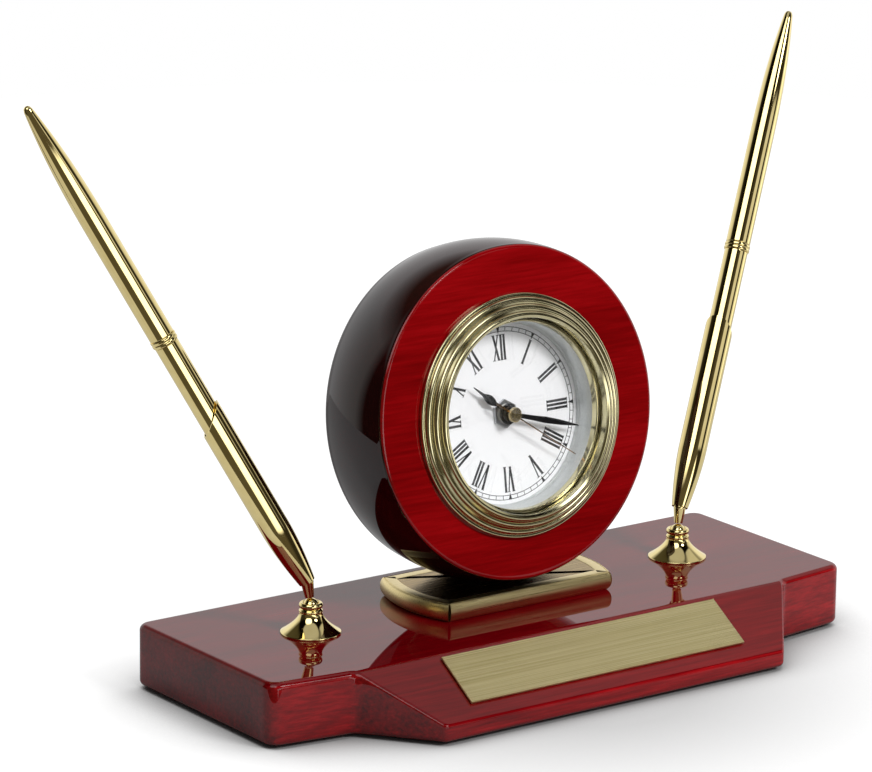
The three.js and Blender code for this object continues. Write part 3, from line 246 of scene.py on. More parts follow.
# %% Colour and node helpers
def tint(code, strength=1.0):
    """Linear red, green, blue and alpha of an sRGB hex code: c / 12.92 below 0.04045, and above it
    ((c + 0.055) / 1.055) to the power 2.4."""
    parts = np.array([int(code[k:k + 2], 16) / 255 for k in (1, 3, 5)])
    linear = np.where(parts <= 0.04045, parts / 12.92, ((parts + 0.055) / 1.055) ** 2.4)
    return (*(linear * strength).tolist(), 1.0)


def add_node(tree, kind, inputs=None, stops=None, **settings):
    """Adds a node. An input is a plain value, or another node's output to link from. stops are the
    places and colours of a colour ramp."""
    made = tree.nodes.new(kind)
    for key, value in settings.items():
        setattr(made, key, value)
    for key, value in (inputs or {}).items():
        if isinstance(value, bpy.types.NodeSocket):
            tree.links.new(value, made.inputs[key])
        else:
            made.inputs[key].default_value = value
    for k, (place, colour) in enumerate(stops or []):
        elements = made.color_ramp.elements
        element = elements[k] if k < 2 else elements.new(place)
        element.position = place
        element.color = tint(colour)
    return made


def maths(tree, operation, first, second):
    """Joins two numbers, each a plain value or another node's output."""
    return add_node(tree, "ShaderNodeMath", {0: first, 1: second}, operation=operation).outputs[0]


def vector_maths(tree, operation, first, second):
    """Joins two colours or directions. A distance or a dot product comes out as a number."""
    made = add_node(tree, "ShaderNodeVectorMath", {0: first, 1: second}, operation=operation)
    return made.outputs["Value" if operation in ("DISTANCE", "DOT_PRODUCT") else "Vector"]


def start_finish(name, **sockets):
    """A new material with its shader's sockets set; a double word is written with an underscore."""
    material = bpy.data.materials.new(name)
    material.use_nodes = True
    tree = material.node_tree
    shader = tree.nodes["Principled BSDF"]
    for key, value in sockets.items():
        shader.inputs[key.replace("_", " ")].default_value = value
    return material, tree, shader


def stretched(tree, scale, turn=(0.0, 0.0, 0.0)):
    """Object coordinates through a mapping: each axis is scaled to pattern features per metre."""
    coordinates = add_node(tree, "ShaderNodeTexCoord")
    return add_node(tree, "ShaderNodeMapping", {
        "Vector": coordinates.outputs["Object"], "Scale": scale, "Rotation": turn,
    }).outputs["Vector"]


print("sRGB #808080 is", round(tint("#808080")[0], 3), "in linear light")

# %% [markdown]
# ### Rosewood under piano lacquer
# The stand and the case are wood stained a deep red, then sealed, sanded flat and lacquered to a mirror.
# The eye sees two things at once: fine darker pores and broad bands in the wood, and over them a clear
# coat that reflects the room. A coat layer on the shader gives exactly that, with the wood dull below it.


# %% Make the lacquered wood
def lacquered_wood(name, grain_turn, dark, middle, light, fibre=(45, 900, 900), figure=(9, 60, 60)):
    """Pores 1 mm wide and 20 mm long, mixed with bands 15 mm wide, through a ramp of three reds."""
    material, tree, shader = start_finish(
        name, Roughness=0.5, Coat_Weight=0.8, Coat_Roughness=0.012, Coat_IOR=1.5, Specular_IOR_Level=0.0)
    pores = add_node(tree, "ShaderNodeTexNoise", {
        "Vector": stretched(tree, fibre, grain_turn), "Scale": 1.0, "Detail": 5.0, "Roughness": 0.65,
    })
    bands = add_node(tree, "ShaderNodeTexNoise", {
        "Vector": stretched(tree, figure, grain_turn), "Scale": 1.0, "Detail": 3.0, "Distortion": 0.6,
    })
    both = add_node(tree, "ShaderNodeMix", {
        "Factor": 0.45, "A": pores.outputs["Fac"], "B": bands.outputs["Fac"],
    }, data_type="FLOAT")
    reds = add_node(tree, "ShaderNodeValToRGB", {"Fac": both.outputs["Result"]},
                    stops=[(0.34, dark), (0.5, middle), (0.66, light)])
    tree.links.new(reds.outputs["Color"], shader.inputs["Base Color"])
    return material


# The stand's wood comes in two copies that differ only by painted light: the darker one, for the top, is
# painted shade, and the brighter one, for the upright walls, is painted light.
rosewood_shaded_copy = lacquered_wood("lacquered_rosewood_shaded", (0, 0, 0), "#520004", "#660208", "#7a080e")
rosewood_lit_copy = lacquered_wood("lacquered_rosewood_lit", (0, 0, 0), "#4c0206", "#7a060c", "#a01218")
face_grain = (0, np.radians(35), 0)
case_front = lacquered_wood("lacquered_rosewood_face", face_grain, "#640003", "#7a0206", "#90060c")
case_rim = lacquered_wood("lacquered_rosewood_rim", (0, 0, 0), "#1e0305", "#2a0608", "#380c0c")
print("woods:", rosewood_shaded_copy.name, rosewood_lit_copy.name, case_front.name, case_rim.name)

# %% [markdown]
# ### Brass and gold
# All the bright metal is brass. The nameplate and the plinth were brushed in one direction, which leaves
# fine parallel lines that smear highlights across them. The pens, holders and bezel were polished before
# they were plated, so they are mirrors that take their dark and light stripes from the room.


# %% Make the brushed metals
def brushed_metal(name, dark, middle, light, lines, roughness, depth):
    """Lines are features per metre along each axis: a small number runs along the brush strokes. Real
    scratches are a few hundredths of a millimetre wide; these are a quarter to nearly half a millimetre."""
    material, tree, shader = start_finish(name, Metallic=1.0, Roughness=roughness)
    strokes = add_node(tree, "ShaderNodeTexNoise", {
        "Vector": stretched(tree, lines), "Scale": 1.0, "Detail": 4.0, "Roughness": 0.7,
    })
    tones = add_node(tree, "ShaderNodeValToRGB", {"Fac": strokes.outputs["Fac"]},
                     stops=[(0.32, dark), (0.5, middle), (0.7, light)])
    rough = add_node(tree, "ShaderNodeMapRange", {
        "Value": strokes.outputs["Fac"], "From Min": 0.3, "From Max": 0.7,
        "To Min": roughness * 0.85, "To Max": roughness * 1.2,
    })
    ridges = add_node(tree, "ShaderNodeBump", {
        "Height": strokes.outputs["Fac"], "Distance": depth, "Strength": 0.6,
    })
    tree.links.new(tones.outputs["Color"], shader.inputs["Base Color"])
    tree.links.new(rough.outputs["Result"], shader.inputs["Roughness"])
    tree.links.new(ridges.outputs["Normal"], shader.inputs["Normal"])
    return material


plate_brass = brushed_metal(
    "brushed_brass_plate", "#cabc80", "#e2d49e", "#f6ecc2", (12, 4500, 4500), 0.42, 0.00022)
# The plate's brass is a darker copy of the moulding's brass: painted shade, and a painted reflection of the
# dark clock case that stands over it.
plinth_shaded_brass = brushed_metal(
    "brushed_brass_shaded", "#6b5526", "#94793e", "#b89c5c", (40, 2500, 2500), 0.24, 0.00003)
moulding_brass = brushed_metal(
    "satin_brass_moulding", "#d8c48c", "#ead69c", "#f4e4b0", (30, 2500, 2500), 0.3, 0.00002)
print("brushed:", plate_brass.name, plinth_shaded_brass.name, moulding_brass.name)


# %% Make the polished metals
def polished_metal(name, colour, shade, roughness):
    """A plated mirror: colour and roughness drift a little over 3 mm, as buffing leaves them."""
    material, tree, shader = start_finish(name, Metallic=1.0, Roughness=roughness)
    clouds = add_node(tree, "ShaderNodeTexNoise", {
        "Vector": stretched(tree, (300, 300, 300)), "Scale": 1.0, "Detail": 2.0,
    })
    tones = add_node(tree, "ShaderNodeValToRGB", {"Fac": clouds.outputs["Fac"]},
                     stops=[(0.3, shade), (0.7, colour)])
    rough = add_node(tree, "ShaderNodeMapRange", {
        "Value": clouds.outputs["Fac"], "To Min": roughness * 0.8, "To Max": roughness * 1.2,
    })
    tree.links.new(tones.outputs["Color"], shader.inputs["Base Color"])
    tree.links.new(rough.outputs["Result"], shader.inputs["Roughness"])
    return material


pen_gold = polished_metal("polished_gold_plate", "#f0dea0", "#e8d494", 0.05)
bezel_gold = polished_metal("polished_pale_gold", "#d4cca6", "#c6be94", 0.15)
warm_gold = polished_metal("polished_warm_gold", "#d6a877", "#c8945f", 0.18)
cap_gold = polished_metal("turned_pale_gold", "#cfc09a", "#b8a67c", 0.28)
bright_steel = polished_metal("zinc_plated_steel", "#c2c4c8", "#a6a8ac", 0.3)
print("polished:", pen_gold.name, bezel_gold.name, warm_gold.name, cap_gold.name, bright_steel.name)


# %% [markdown]
# ### Dial, hands and plastics
# The dial is a printed plate, matt white. The hands are stamped and painted black. Behind the dial, out of
# sight until the insert is pulled out, are moulded plastic, a circuit board, a coil and a rubber band.


# %% Make the painted and moulded finishes
def grained(name, colour, shade, roughness, grit, depth, **sockets):
    """A matt surface: its colour drifts between two shades, and its bump has grains of the given size."""
    material, tree, shader = start_finish(name, Roughness=roughness, **sockets)
    grains = add_node(tree, "ShaderNodeTexNoise", {
        "Vector": stretched(tree, (1 / grit, 1 / grit, 1 / grit)), "Scale": 1.0, "Detail": 3.0,
    })
    tones = add_node(tree, "ShaderNodeValToRGB", {"Fac": grains.outputs["Fac"]},
                     stops=[(0.3, shade), (0.7, colour)])
    bump = add_node(tree, "ShaderNodeBump", {
        "Height": grains.outputs["Fac"], "Distance": depth, "Strength": 0.5,
    })
    tree.links.new(tones.outputs["Color"], shader.inputs["Base Color"])
    tree.links.new(bump.outputs["Normal"], shader.inputs["Normal"])
    return material


dial_white = grained("printed_dial_white", "#f8f8fa", "#f2f3f6", 0.6, 0.0004, 0.000004)
print_black = grained(
    "printing_ink_black", "#1c1c20", "#141417", 0.6, 0.0003, 0.000004, Specular_IOR_Level=0.2)
hand_black = grained(
    "stoved_black_paint", "#141416", "#0c0c0e", 0.35, 0.0003, 0.000004, Specular_IOR_Level=0.2)
ring_silver = grained("silvered_plastic", "#d4d8d8", "#c6cbcb", 0.35, 0.0006, 0.000004, Metallic=0.35)
green_felt = grained("dark_green_felt", "#23382b", "#14241b", 0.95, 0.0006, 0.0002, Sheen_Weight=0.6)
black_plastic = grained("moulded_black_abs", "#1d1f21", "#151617", 0.45, 0.0005, 0.00001)
white_plastic = grained("moulded_white_abs", "#e2e2dd", "#d8d8d2", 0.45, 0.0005, 0.00001)
black_rubber = grained("black_rubber", "#1b1b1d", "#121213", 0.85, 0.0004, 0.00003)
green_board = grained("green_circuit_board", "#236a44", "#1a5234", 0.4, 0.002, 0.00001)
copper_wire = brushed_metal(
    "wound_copper_wire", "#7a3c1a", "#b8683a", "#d98c5a", (80, 80, 6000), 0.3, 0.00008)
clear_lens = start_finish(
    "clear_mineral_glass", Base_Color=(1, 1, 1, 1), Transmission_Weight=1.0, Roughness=0.0, IOR=1.45,
    Alpha=0.05)[0]
print("finishes in all:", len(bpy.data.materials))

# %% [markdown]
# ## The stand
# The stand is one board, 204 mm wide. Its middle third comes forward, and its top there slopes down to a
# low lip that carries the nameplate. Its walls stand upright and its edges are rounded. I stack copies of
# the outline, each moved inwards a little, so that the rounding follows every corner and the inner cove.
# The left half mirrors the right, so rows of points at the same depth pair up and close the top and bottom.

# %% Sizes of the stand, in millimetres
stand_floor, stand_top = 1.0, 19.0
lip_y, lip_z = -46.0, 6.0
crest_y = -25.6
crest_softness = 0.8
slope_rise = (stand_top - lip_z) / (crest_y - lip_y)
stand_corners = [(0, lip_y), (60, lip_y, 2.2), (76.3, crest_y, 5), (102, -22.2, 4.5), (102, 46, 4), (0, 46)]


def stand_height(y):
    """Height of the top at a depth y: flat behind the crest, and a slope in front of it. Within the
    softness w of the crest the drop is rise * (w + t) ** 2 / (4 w), with t the distance in front."""
    ahead = crest_y - y
    near = np.clip(ahead + crest_softness, 0, 2 * crest_softness)
    drop = near ** 2 / (4 * crest_softness) + np.maximum(ahead - crest_softness, 0)
    return stand_top - slope_rise * drop


print(f"lip height {stand_height(lip_y):.1f} mm, slope {np.degrees(np.arctan(slope_rise)):.1f} degrees")


# %% Stack the outline of the stand
def finer(path, longest):
    """Splits each straight step of a path so that none is longer than a limit."""
    pieces = [path[:1]]
    for start, end in zip(path[:-1], path[1:]):
        parts = max(1, int(np.ceil(np.linalg.norm(end - start) / longest)))
        share = np.linspace(0, 1, parts + 1)[1:, None]
        pieces.append(start + (end - start) * share)
    return np.vstack(pieces)


def inward_steps(path):
    """Per point of a closed path, the step that moves both its edges inwards by 1: the sum of the two
    edge normals, divided by 1 plus the cosine of the angle between them."""
    ahead = np.roll(path, -1, axis=0) - path
    ahead /= np.linalg.norm(ahead, axis=1, keepdims=True)
    normal = np.stack([-ahead[:, 1], ahead[:, 0]], axis=1)
    before = np.roll(normal, 1, axis=0)
    return (normal + before) / (1 + (normal * before).sum(axis=1, keepdims=True))


half = rounded(stand_corners, steps=14)[1:-1]
half = finer(half, 2.5)
outline = np.vstack([half, (half * [-1, 1])[::-1]])
steps_in = inward_steps(outline)
lip_radius, wing_radius, foot_radius = 0.8, 1.8, 1.6
change_start, change_length = -27.4, 2.0
on_wings = np.clip((outline[:, 1:] - change_start) / change_length, 0, 1)
top_radius = lip_radius + (wing_radius - lip_radius) * on_wings ** 2 * (3 - 2 * on_wings)
bottom_radius = np.full_like(top_radius, foot_radius)


def stand_layers():
    """Rings of (x, y, z). Along a rounding of radius r, at angle a, a ring lies r (1 - sin a) or
    r (1 - cos a) inwards, and as far below the top or above the floor as the circle says."""
    layers = []
    quarter = np.radians(np.linspace(0, 90, 9))
    support = 0.15

    def layer(distance, height):
        place = outline + steps_in * distance
        layers.append(np.hstack([place, height(place[:, 1:])]))

    layer(bottom_radius + support, lambda y: np.full_like(y, stand_floor))
    for a in quarter:
        low = stand_floor + bottom_radius * (1 - np.cos(a))
        layer(bottom_radius * (1 - np.sin(a)), lambda y, low=low: low)
    for a in quarter:
        drop = top_radius * (1 - np.sin(a))
        layer(top_radius * (1 - np.cos(a)), lambda y, drop=drop: stand_height(y) - drop)
    layer(top_radius + support, lambda y: stand_height(y))
    return np.stack(layers)


layers = stand_layers()
count = len(outline)
stand_points = layers.reshape(-1, 3)
stand_faces = grid_faces(len(layers), count, wrap_columns=True).tolist()
row = np.arange(len(half) - 1)
across = np.stack([row, row + 1, count - 2 - row, count - 1 - row], axis=1)
top_ring = (len(layers) - 1) * count
stand_faces += across[:, ::-1].tolist() + (across + top_ring).tolist()
stand = make_piece("rosewood_stand", placed(stand_points), stand_faces, [rosewood_shaded_copy, rosewood_lit_copy],
                   "base", "rosewood", ["base_block"], sharp=50)
# Faces steeper than this take the brighter copy of the rosewood and the flatter ones the darker copy:
# painted light on the walls and painted shade on the top.
steepest_top = 0.6
normals = np.zeros(3 * len(stand.data.polygons))
stand.data.polygons.foreach_get("normal", normals)
takes_lit_copy = normals[2::3] < steepest_top
stand.data.polygons.foreach_set("material_index", takes_lit_copy.astype(np.int32))

# %% [markdown]
# ## The plinth
# Four strips of half-round brass moulding, mitred at the corners, frame a flat brushed plate. A strip is
# its section carried along one side of the frame; the ends of the frame are slightly bowed.

# %% Sweep the four mouldings
plinth_front, plinth_depth, plinth_half, plinth_bulge = -5.0, 34.0, 29.2, 3.9
plinth_bottom, plinth_top, moulding_width, mitre_gap, mitre_nose_gap = 19.0, 24.4, 4.5, 0.06, 1.1
plinth_middle = plinth_front + plinth_depth / 2
bow_radius = (plinth_depth ** 2 / 4 + plinth_bulge ** 2) / (2 * plinth_bulge)
bow_spread = np.degrees(np.arcsin(plinth_depth / 2 / bow_radius))
bow_x = plinth_half + plinth_bulge - bow_radius
plinth_rear = plinth_front + plinth_depth
sides_of_plinth = {
    "front": np.array([[-plinth_half, plinth_front], [plinth_half, plinth_front]]),
    "right": arc(bow_x, plinth_middle, bow_radius, -bow_spread, bow_spread, 40),
    "rear": np.array([[plinth_half, plinth_rear], [-plinth_half, plinth_rear]]),
    "left": arc(-bow_x, plinth_middle, bow_radius, 180 - bow_spread, 180 + bow_spread, 40),
}
nose_height, nose_top_depth, nose_foot_depth = 2.8, 1.2, 2.0
strip = rounded([
    (moulding_width, plinth_bottom), (moulding_width, plinth_top, 0.15),
    (nose_top_depth + 0.25, plinth_top, 0.15), (nose_top_depth + 0.05, plinth_top - 0.3),
], steps=3)
upper = arc(0, 0, 1, 84, 0, 16) * [-nose_top_depth, plinth_top - plinth_bottom - nose_height]
lower = arc(0, 0, 1, 0, -84, 16)[1:] * [-nose_foot_depth, nose_height]
upper += [nose_top_depth, plinth_bottom + nose_height]
lower += [nose_foot_depth, plinth_bottom + nose_height]
moulding_section = np.vstack([strip, upper, lower, [(nose_foot_depth, plinth_bottom)]])


def run(path, steps, section, end_gap, nose_gap):
    """Point (i, j) is path point i, moved along the inward step i by the section's depth j, at its height
    j. Both ends are drawn back by half a gap that grows from end_gap, 2 mm in, to nose_gap at the nose."""
    along = np.gradient(path, axis=0)
    along /= np.linalg.norm(along, axis=1, keepdims=True)
    gap = end_gap + (nose_gap - end_gap) * np.clip(1 - section[:, 0] / 2.0, 0, 1) ** 1.5
    trim = np.zeros((len(path), len(section), 1))
    trim[0, :, 0], trim[-1, :, 0] = gap / 2, -gap / 2
    start = path[:, None, :] + along[:, None, :] * trim
    flat = start + steps[:, None, :] * section[None, :, :1]
    height = np.broadcast_to(section[None, :, 1:], flat.shape[:2] + (1,))
    return stacked(np.concatenate([flat, height], axis=2))


plinth_outline = np.vstack([side[:-1] for side in sides_of_plinth.values()])
plinth_steps = inward_steps(plinth_outline)
first = 0
for side_name, side in sides_of_plinth.items():
    numbers = (first + np.arange(len(side))) % len(plinth_outline)
    points, faces = run(side, plinth_steps[numbers], moulding_section, mitre_gap, mitre_nose_gap)
    make_piece(f"plinth_{side_name}_brass", placed(points), faces, moulding_brass, "base", "antique_brass",
               [f"plinth_{side_name}_moulding"], sharp=30)
    first += len(side) - 1

# %% Lay the brushed plate between them
plate_rings = []
for distance, height in ((0.03, plinth_bottom), (0.03, plinth_top - 0.15), (0.1, plinth_top - 0.06)):
    ring = plinth_outline + plinth_steps * (moulding_width + distance)
    plate_rings.append(np.hstack([ring, np.full((len(ring), 1), height)]))
points, faces = stacked(plate_rings)
# The brushed plate takes the darkened brass, with its painted shade and painted reflection.
make_piece("plinth_brushed_plate", placed(points), faces, plinth_shaded_brass, "base", "antique_brass",
           ["plinth_plate"], sharp=20)

# %% [markdown]
# ## The clock case
# The case is a wooden drum that leans back, with its foot planed flat to stand on the plinth. Its side is a
# barrel, a little fuller in the middle. It is turned on a lathe in its own frame, where +Z comes out of
# its face, and then every point below the plane of the plinth's top is lifted to it, as a plane cuts it.
# The bore is a little lower than the middle of the face, so its rings are turned about their own centre.

# %% Turn the case
lean = np.radians(8.7)
case_radius, case_bulge, case_taper, case_depth = 48.0, 1.5, 0.6, 30.0
case_edge, case_back_edge = 1.2, 3.0
case_bore, bore_depth, bore_drop = 31.0, 21.5, 0.8
case_toe_y, case_toe_z = -4.6, plinth_top + 2.95
seat_z = plinth_top + 0.1
reach = case_radius - bore_drop
clock_frame = move_matrix(0, case_toe_y + reach * np.sin(lean), case_toe_z + reach * np.cos(lean))
clock_frame = clock_frame @ turn_matrix("X", np.pi / 2 - lean)

share = np.linspace(0, 1, 26)[1:-1]
case_side = np.stack([
    case_radius - case_taper * (1 - share) + 4 * case_bulge * share * (1 - share),
    case_back_edge - case_depth + (case_depth - case_back_edge - case_edge) * share,
], axis=1)
case_profile = np.vstack([
    [(0, -case_depth)],
    arc(case_radius - case_taper - case_back_edge, case_back_edge - case_depth, case_back_edge, -90, 0, 10),
    case_side,
    arc(case_radius - case_edge, -case_edge, case_edge, 0, 90, 8),
    rounded([
        (case_radius - 4, 0), (case_bore, 0, 0.3), (case_bore, -bore_depth), (0, -bore_depth),
    ], steps=4),
])
ring_steps = 256
points, faces = turned(case_profile, ring_steps)
off_centre = np.repeat(case_profile[1:-1, 0] > case_bore + 1, ring_steps)
points[:len(off_centre), 1] += bore_drop * off_centre
points[-2, 1] += bore_drop
points = placed(points, clock_frame)
points[:, 2] = np.maximum(points[:, 2], seat_z * MM)
middles = (case_profile[1:-2] + case_profile[2:-1]) / 2
rim_finish, front_finish, back_finish = 0, 1, 2
on_front = (middles[:, 1] > -0.5) & (middles[:, 0] > case_bore + 0.2)
on_back = middles[:, 1] < 0.4 - case_depth
part = np.where(on_back, back_finish, np.where(on_front, front_finish, rim_finish))
case_parts = np.concatenate([
    np.repeat(part, ring_steps), np.full(ring_steps, back_finish), np.full(ring_steps, rim_finish)])
# The back of the case takes the darker copy of the stand's rosewood, the one with painted shade.
make_piece("rosewood_clock_case", points, faces, [case_rim, case_front, rosewood_shaded_copy], "base", "rosewood",
           ["clock_case"], face_finish=case_parts.astype(np.int32))

# %% [markdown]
# ## The bezel, lens and reflector
# The bezel is spun brass with three rounded steps that climb towards the glass. Each step is an arc, with a
# crisp groove where it meets the next, and the grooves matter: they draw the dark rings that the eye reads.

# %% Turn the bezel and what it frames
bezel_radius, mouth_radius, lip_width, lip_height, bezel_height, beads = 35.0, 28.0, 1.0, 1.5, 5.1, 3
skirt_radius, skirt_depth = 30.0, 9.0
clock_steps = 160


def bezel_profile():
    """An outer lip, then beads: each is a quarter-and-a-bit of an ellipse, higher than the last."""
    width = (bezel_radius - lip_width - mouth_radius) / beads
    rise = (bezel_height - lip_height) / beads
    parts = [rounded([
        (skirt_radius, 0.1), (bezel_radius, 0.1), (bezel_radius, lip_height, 0.5),
        (bezel_radius - lip_width, lip_height - 0.05, 0.1),
        (bezel_radius - lip_width - 0.02, lip_height + 0.1),
    ], steps=6)]
    for k in range(beads):
        outer = bezel_radius - lip_width - k * width
        top = lip_height + (k + 1) * rise
        turn = np.radians(np.linspace(8, 122, 14))
        parts.append(np.stack([
            outer - width / 2 * (1 - np.cos(turn)), top - rise * (1 - np.sin(turn)),
        ], axis=1))
    parts.append(rounded([
        (mouth_radius + 0.1, bezel_height - 0.35), (mouth_radius, bezel_height - 0.6, 0.2),
        (mouth_radius, -skirt_depth), (skirt_radius, -skirt_depth), (skirt_radius, 0.05),
    ], steps=3))
    return np.vstack(parts)


def turned_on_clock(name, profile, finish, body, slot, replaces, steps=clock_steps, **extra):
    """Spins a profile in the clock's frame and makes it a piece."""
    points, faces = turned(profile, steps)
    return make_piece(name, placed(points, clock_frame), faces, finish, body, slot, replaces, **extra)


turned_on_clock("stepped_bezel", bezel_profile(), bezel_gold, "insert", "bezel_gold", ["bezel"], 192,
                sharp=35)

lens_radius, lens_low, lens_high = 27.7, 1.6, 3.2
turned_on_clock("glass_lens", rounded([
    (0, lens_low), (lens_radius, lens_low, 0.15), (lens_radius, lens_high, 0.25), (0, lens_high),
], steps=4), clear_lens, "insert", "clear_lens", ["lens"])

dial_front, dial_window = -7.2, 26.0
reflector_top = lens_low - 0.1
reflector_profile = np.vstack([
    [(lens_radius, dial_front + 0.1), (lens_radius, reflector_top)],
    arc(lens_radius - 0.5, reflector_top - 0.4, 0.4, 90, 180, 6),
    [(lens_radius - 0.95, reflector_top - 2.2), (lens_radius - 1.05, reflector_top - 2.3),
     (dial_window + 0.15, dial_front + 1.3), (dial_window, dial_front + 1.2),
     (dial_window, dial_front + 0.1)],
])
ring_heights = (reflector_profile[:, 1] + np.roll(reflector_profile[:, 1], -1)) / 2
is_lip = ring_heights > reflector_top - 2.25
turned_on_clock("silver_reflector", reflector_profile, [ring_silver, bezel_gold], "insert", "silver",
                ["reflector_ring"], face_finish=np.repeat(is_lip, clock_steps).astype(np.int32))
dial_back, dial_hole = dial_front - 0.6, 3.2
turned_on_clock("white_dial", [
    (dial_hole, dial_back), (lens_radius, dial_back), (lens_radius, dial_front), (dial_hole, dial_front),
], dial_white, "insert", "dial_white", ["dial"])

# %% [markdown]
# ## Printing on the dial
# The dial carries Roman numerals, set with their feet to the centre, and a minute track. Each numeral is
# built from straight strokes: thick ones, thin ones and short bars for serifs. A stroke is four corners, so
# the whole print is one array of quads, given the thickness of ink and laid on the dial.

# %% Lay out the strokes of the numerals
numeral_height, numeral_middle = 7.2, 19.0
thick, thin, serif_height, serif_width = 0.72, 0.36, 0.2, 1.25
ink_height = 0.05


def stroke(start, end, width):
    """Four corners of a level-ended stroke between two points: each end is widened along x."""
    (x0, y0), (x1, y1) = start, end
    return [(x0 - width / 2, y0), (x0 + width / 2, y0), (x1 + width / 2, y1), (x1 - width / 2, y1)]


def letter_strokes(letter, x):
    """Strokes of one letter whose left edge is at x, and its width."""
    h = numeral_height / 2
    if letter == "I":
        middle = x + 0.55
        bars = [stroke((middle, -h), (middle, h), thick)]
        ends = [(middle, -h), (middle, h)]
        width = 1.1
    elif letter == "V":
        bars = [stroke((x + 1.3, -h), (x + 0.45, h), thick), stroke((x + 1.3, -h), (x + 2.15, h), thin)]
        ends = [(x + 0.45, h), (x + 2.15, h)]
        width = 2.6
    else:
        bars = [stroke((x + 2.1, -h), (x + 0.5, h), thick), stroke((x + 0.5, -h), (x + 2.1, h), thin)]
        ends = [(x + 0.5, h), (x + 2.1, h), (x + 0.5, -h), (x + 2.1, -h)]
        width = 2.6
    for px, py in ends:
        low = py - serif_height / 2
        bars.append(stroke((px, low), (px, low + serif_height), serif_width * 0.8))
    return bars, width


def numeral_quads(numeral, hour):
    """The strokes of a numeral, centred, turned clockwise to its hour and moved out to its ring."""
    quads, x = [], 0.0
    for letter in numeral:
        bars, width = letter_strokes(letter, x)
        quads += bars
        x += width
    quads = np.array(quads) - [x / 2, 0]
    turn = -2 * np.pi * hour / 12
    out = quads + [0, numeral_middle]
    spin = np.array([[np.cos(turn), np.sin(turn)], [-np.sin(turn), np.cos(turn)]])
    return out @ spin


numerals = ["XII", "I", "II", "III", "IIII", "V", "VI", "VII", "VIII", "IX", "X", "XI"]
numeral_print = np.concatenate([numeral_quads(text, hour) for hour, text in enumerate(numerals)])
print("numerals:", len(numeral_print), "strokes")

# %% Lay out the minute track
track_outer, track_inner, line_width = 24.8, 23.6, 0.18
half_tick, half_wedge = 0.08, 0.55


def track_quads():
    """Two circles cut into 240 short quads each, 60 ticks between them and 12 wedges at the hours."""
    turn = np.linspace(0, 2 * np.pi, 241)
    unit = np.stack([np.sin(turn), np.cos(turn)], axis=1)
    rings = []
    for radius in (track_inner, track_outer):
        inner, outer = unit * (radius - line_width / 2), unit * (radius + line_width / 2)
        rings.append(np.stack([inner[:-1], outer[:-1], outer[1:], inner[1:]], axis=1))
    minute = 2 * np.pi * np.arange(60) / 60
    out = np.stack([np.sin(minute), np.cos(minute)], axis=1)
    side = np.stack([np.cos(minute), -np.sin(minute)], axis=1)
    tick = [out * track_inner - side * half_tick, out * track_outer - side * half_tick,
            out * track_outer + side * half_tick, out * track_inner + side * half_tick]
    hour = np.arange(0, 60, 5)
    wedge = [out[hour] * track_outer - side[hour] * half_wedge, out[hour] * (track_outer + 0.01),
             out[hour] * track_outer + side[hour] * half_wedge, out[hour] * (track_inner - 0.7)]
    return np.concatenate([*rings, np.stack(tick, axis=1), np.stack(wedge, axis=1)])


def ink(quads):
    """Gives each flat quad the height of the ink: 8 corners and 6 faces."""
    flat = quads.reshape(-1, 4, 2)
    low = np.concatenate([flat, np.full(flat.shape[:2] + (1,), dial_front + 0.01)], axis=2)
    high = low + [0, 0, ink_height]
    points = np.concatenate([low, high], axis=1).reshape(-1, 3)
    one = np.array([[3, 2, 1, 0], [4, 5, 6, 7], [0, 1, 5, 4], [1, 2, 6, 5], [2, 3, 7, 6], [3, 0, 4, 7]])
    faces = (np.arange(len(flat))[:, None, None] * 8 + one[None]).reshape(-1, 4)
    return points, faces.tolist()


print_quads = np.concatenate([numeral_print, track_quads()])
points, faces = ink(print_quads)
make_piece("dial_print", placed(points, clock_frame), faces, print_black, "insert", "dial_white")

# %% [markdown]
# ## Hands
# The hands are stamped from thin sheet. Each is an outline that is wide where it needs to be seen and ends
# in a point, with a hub round the arbor. They stand one above the other, so each throws its own shadow.

# %% Stamp the hands
hand_thickness = 0.3
shown_hour, shown_minute, shown_second = 10 + 17.6 / 60, 17.6, 20.8


def blade(heights, half_widths, hub, low, turn):
    """A hand as stacked rings of points: out along one side, back along the other, and round the hub.
    The corners of the top are drawn in by 0.05 mm, as paint rounds them."""
    heights, half_widths = np.asarray(heights, float), np.asarray(half_widths, float)
    fine = np.linspace(heights[0], heights[-1], 60)
    widths = np.interp(fine, heights, half_widths)
    start = np.degrees(np.arcsin(min(1, widths[0] / hub)))
    fine[0] = hub * np.cos(np.radians(start))
    circle = arc(0, 0, hub, 90 + start, 450 - start, 48)[1:-1]
    right = np.stack([widths, fine], axis=1)
    left = (right * [-1, 1])[::-1]
    ring = np.vstack([right, left[1:], circle])
    area = np.sum(ring[:, 0] * np.roll(ring[:, 1], -1) - np.roll(ring[:, 0], -1) * ring[:, 1])
    ring = ring[::-1] if area < 0 else ring
    steps = inward_steps(ring)
    lengths = np.minimum(np.linalg.norm(steps, axis=1, keepdims=True), 1.5)
    steps = steps / np.linalg.norm(steps, axis=1, keepdims=True) * lengths
    layers = [(0.0, low), (0.0, low + hand_thickness - 0.05), (0.05, low + hand_thickness)]
    points, faces = stacked([
        np.hstack([ring + steps * inset, np.full((len(ring), 1), height)]) for inset, height in layers])
    return points @ turn_matrix("Z", turn)[:3, :3].T, faces


def make_hand(name, heights, half_widths, hub, low, share, finish, body, slot):
    """Stamps one hand and turns it clockwise by its share of the dial."""
    points, faces = blade(heights, half_widths, hub, low, -2 * np.pi * share)
    make_piece(name, placed(points, clock_frame), faces, finish, body, slot, [name.replace("_blade", "")],
               sharp=30)


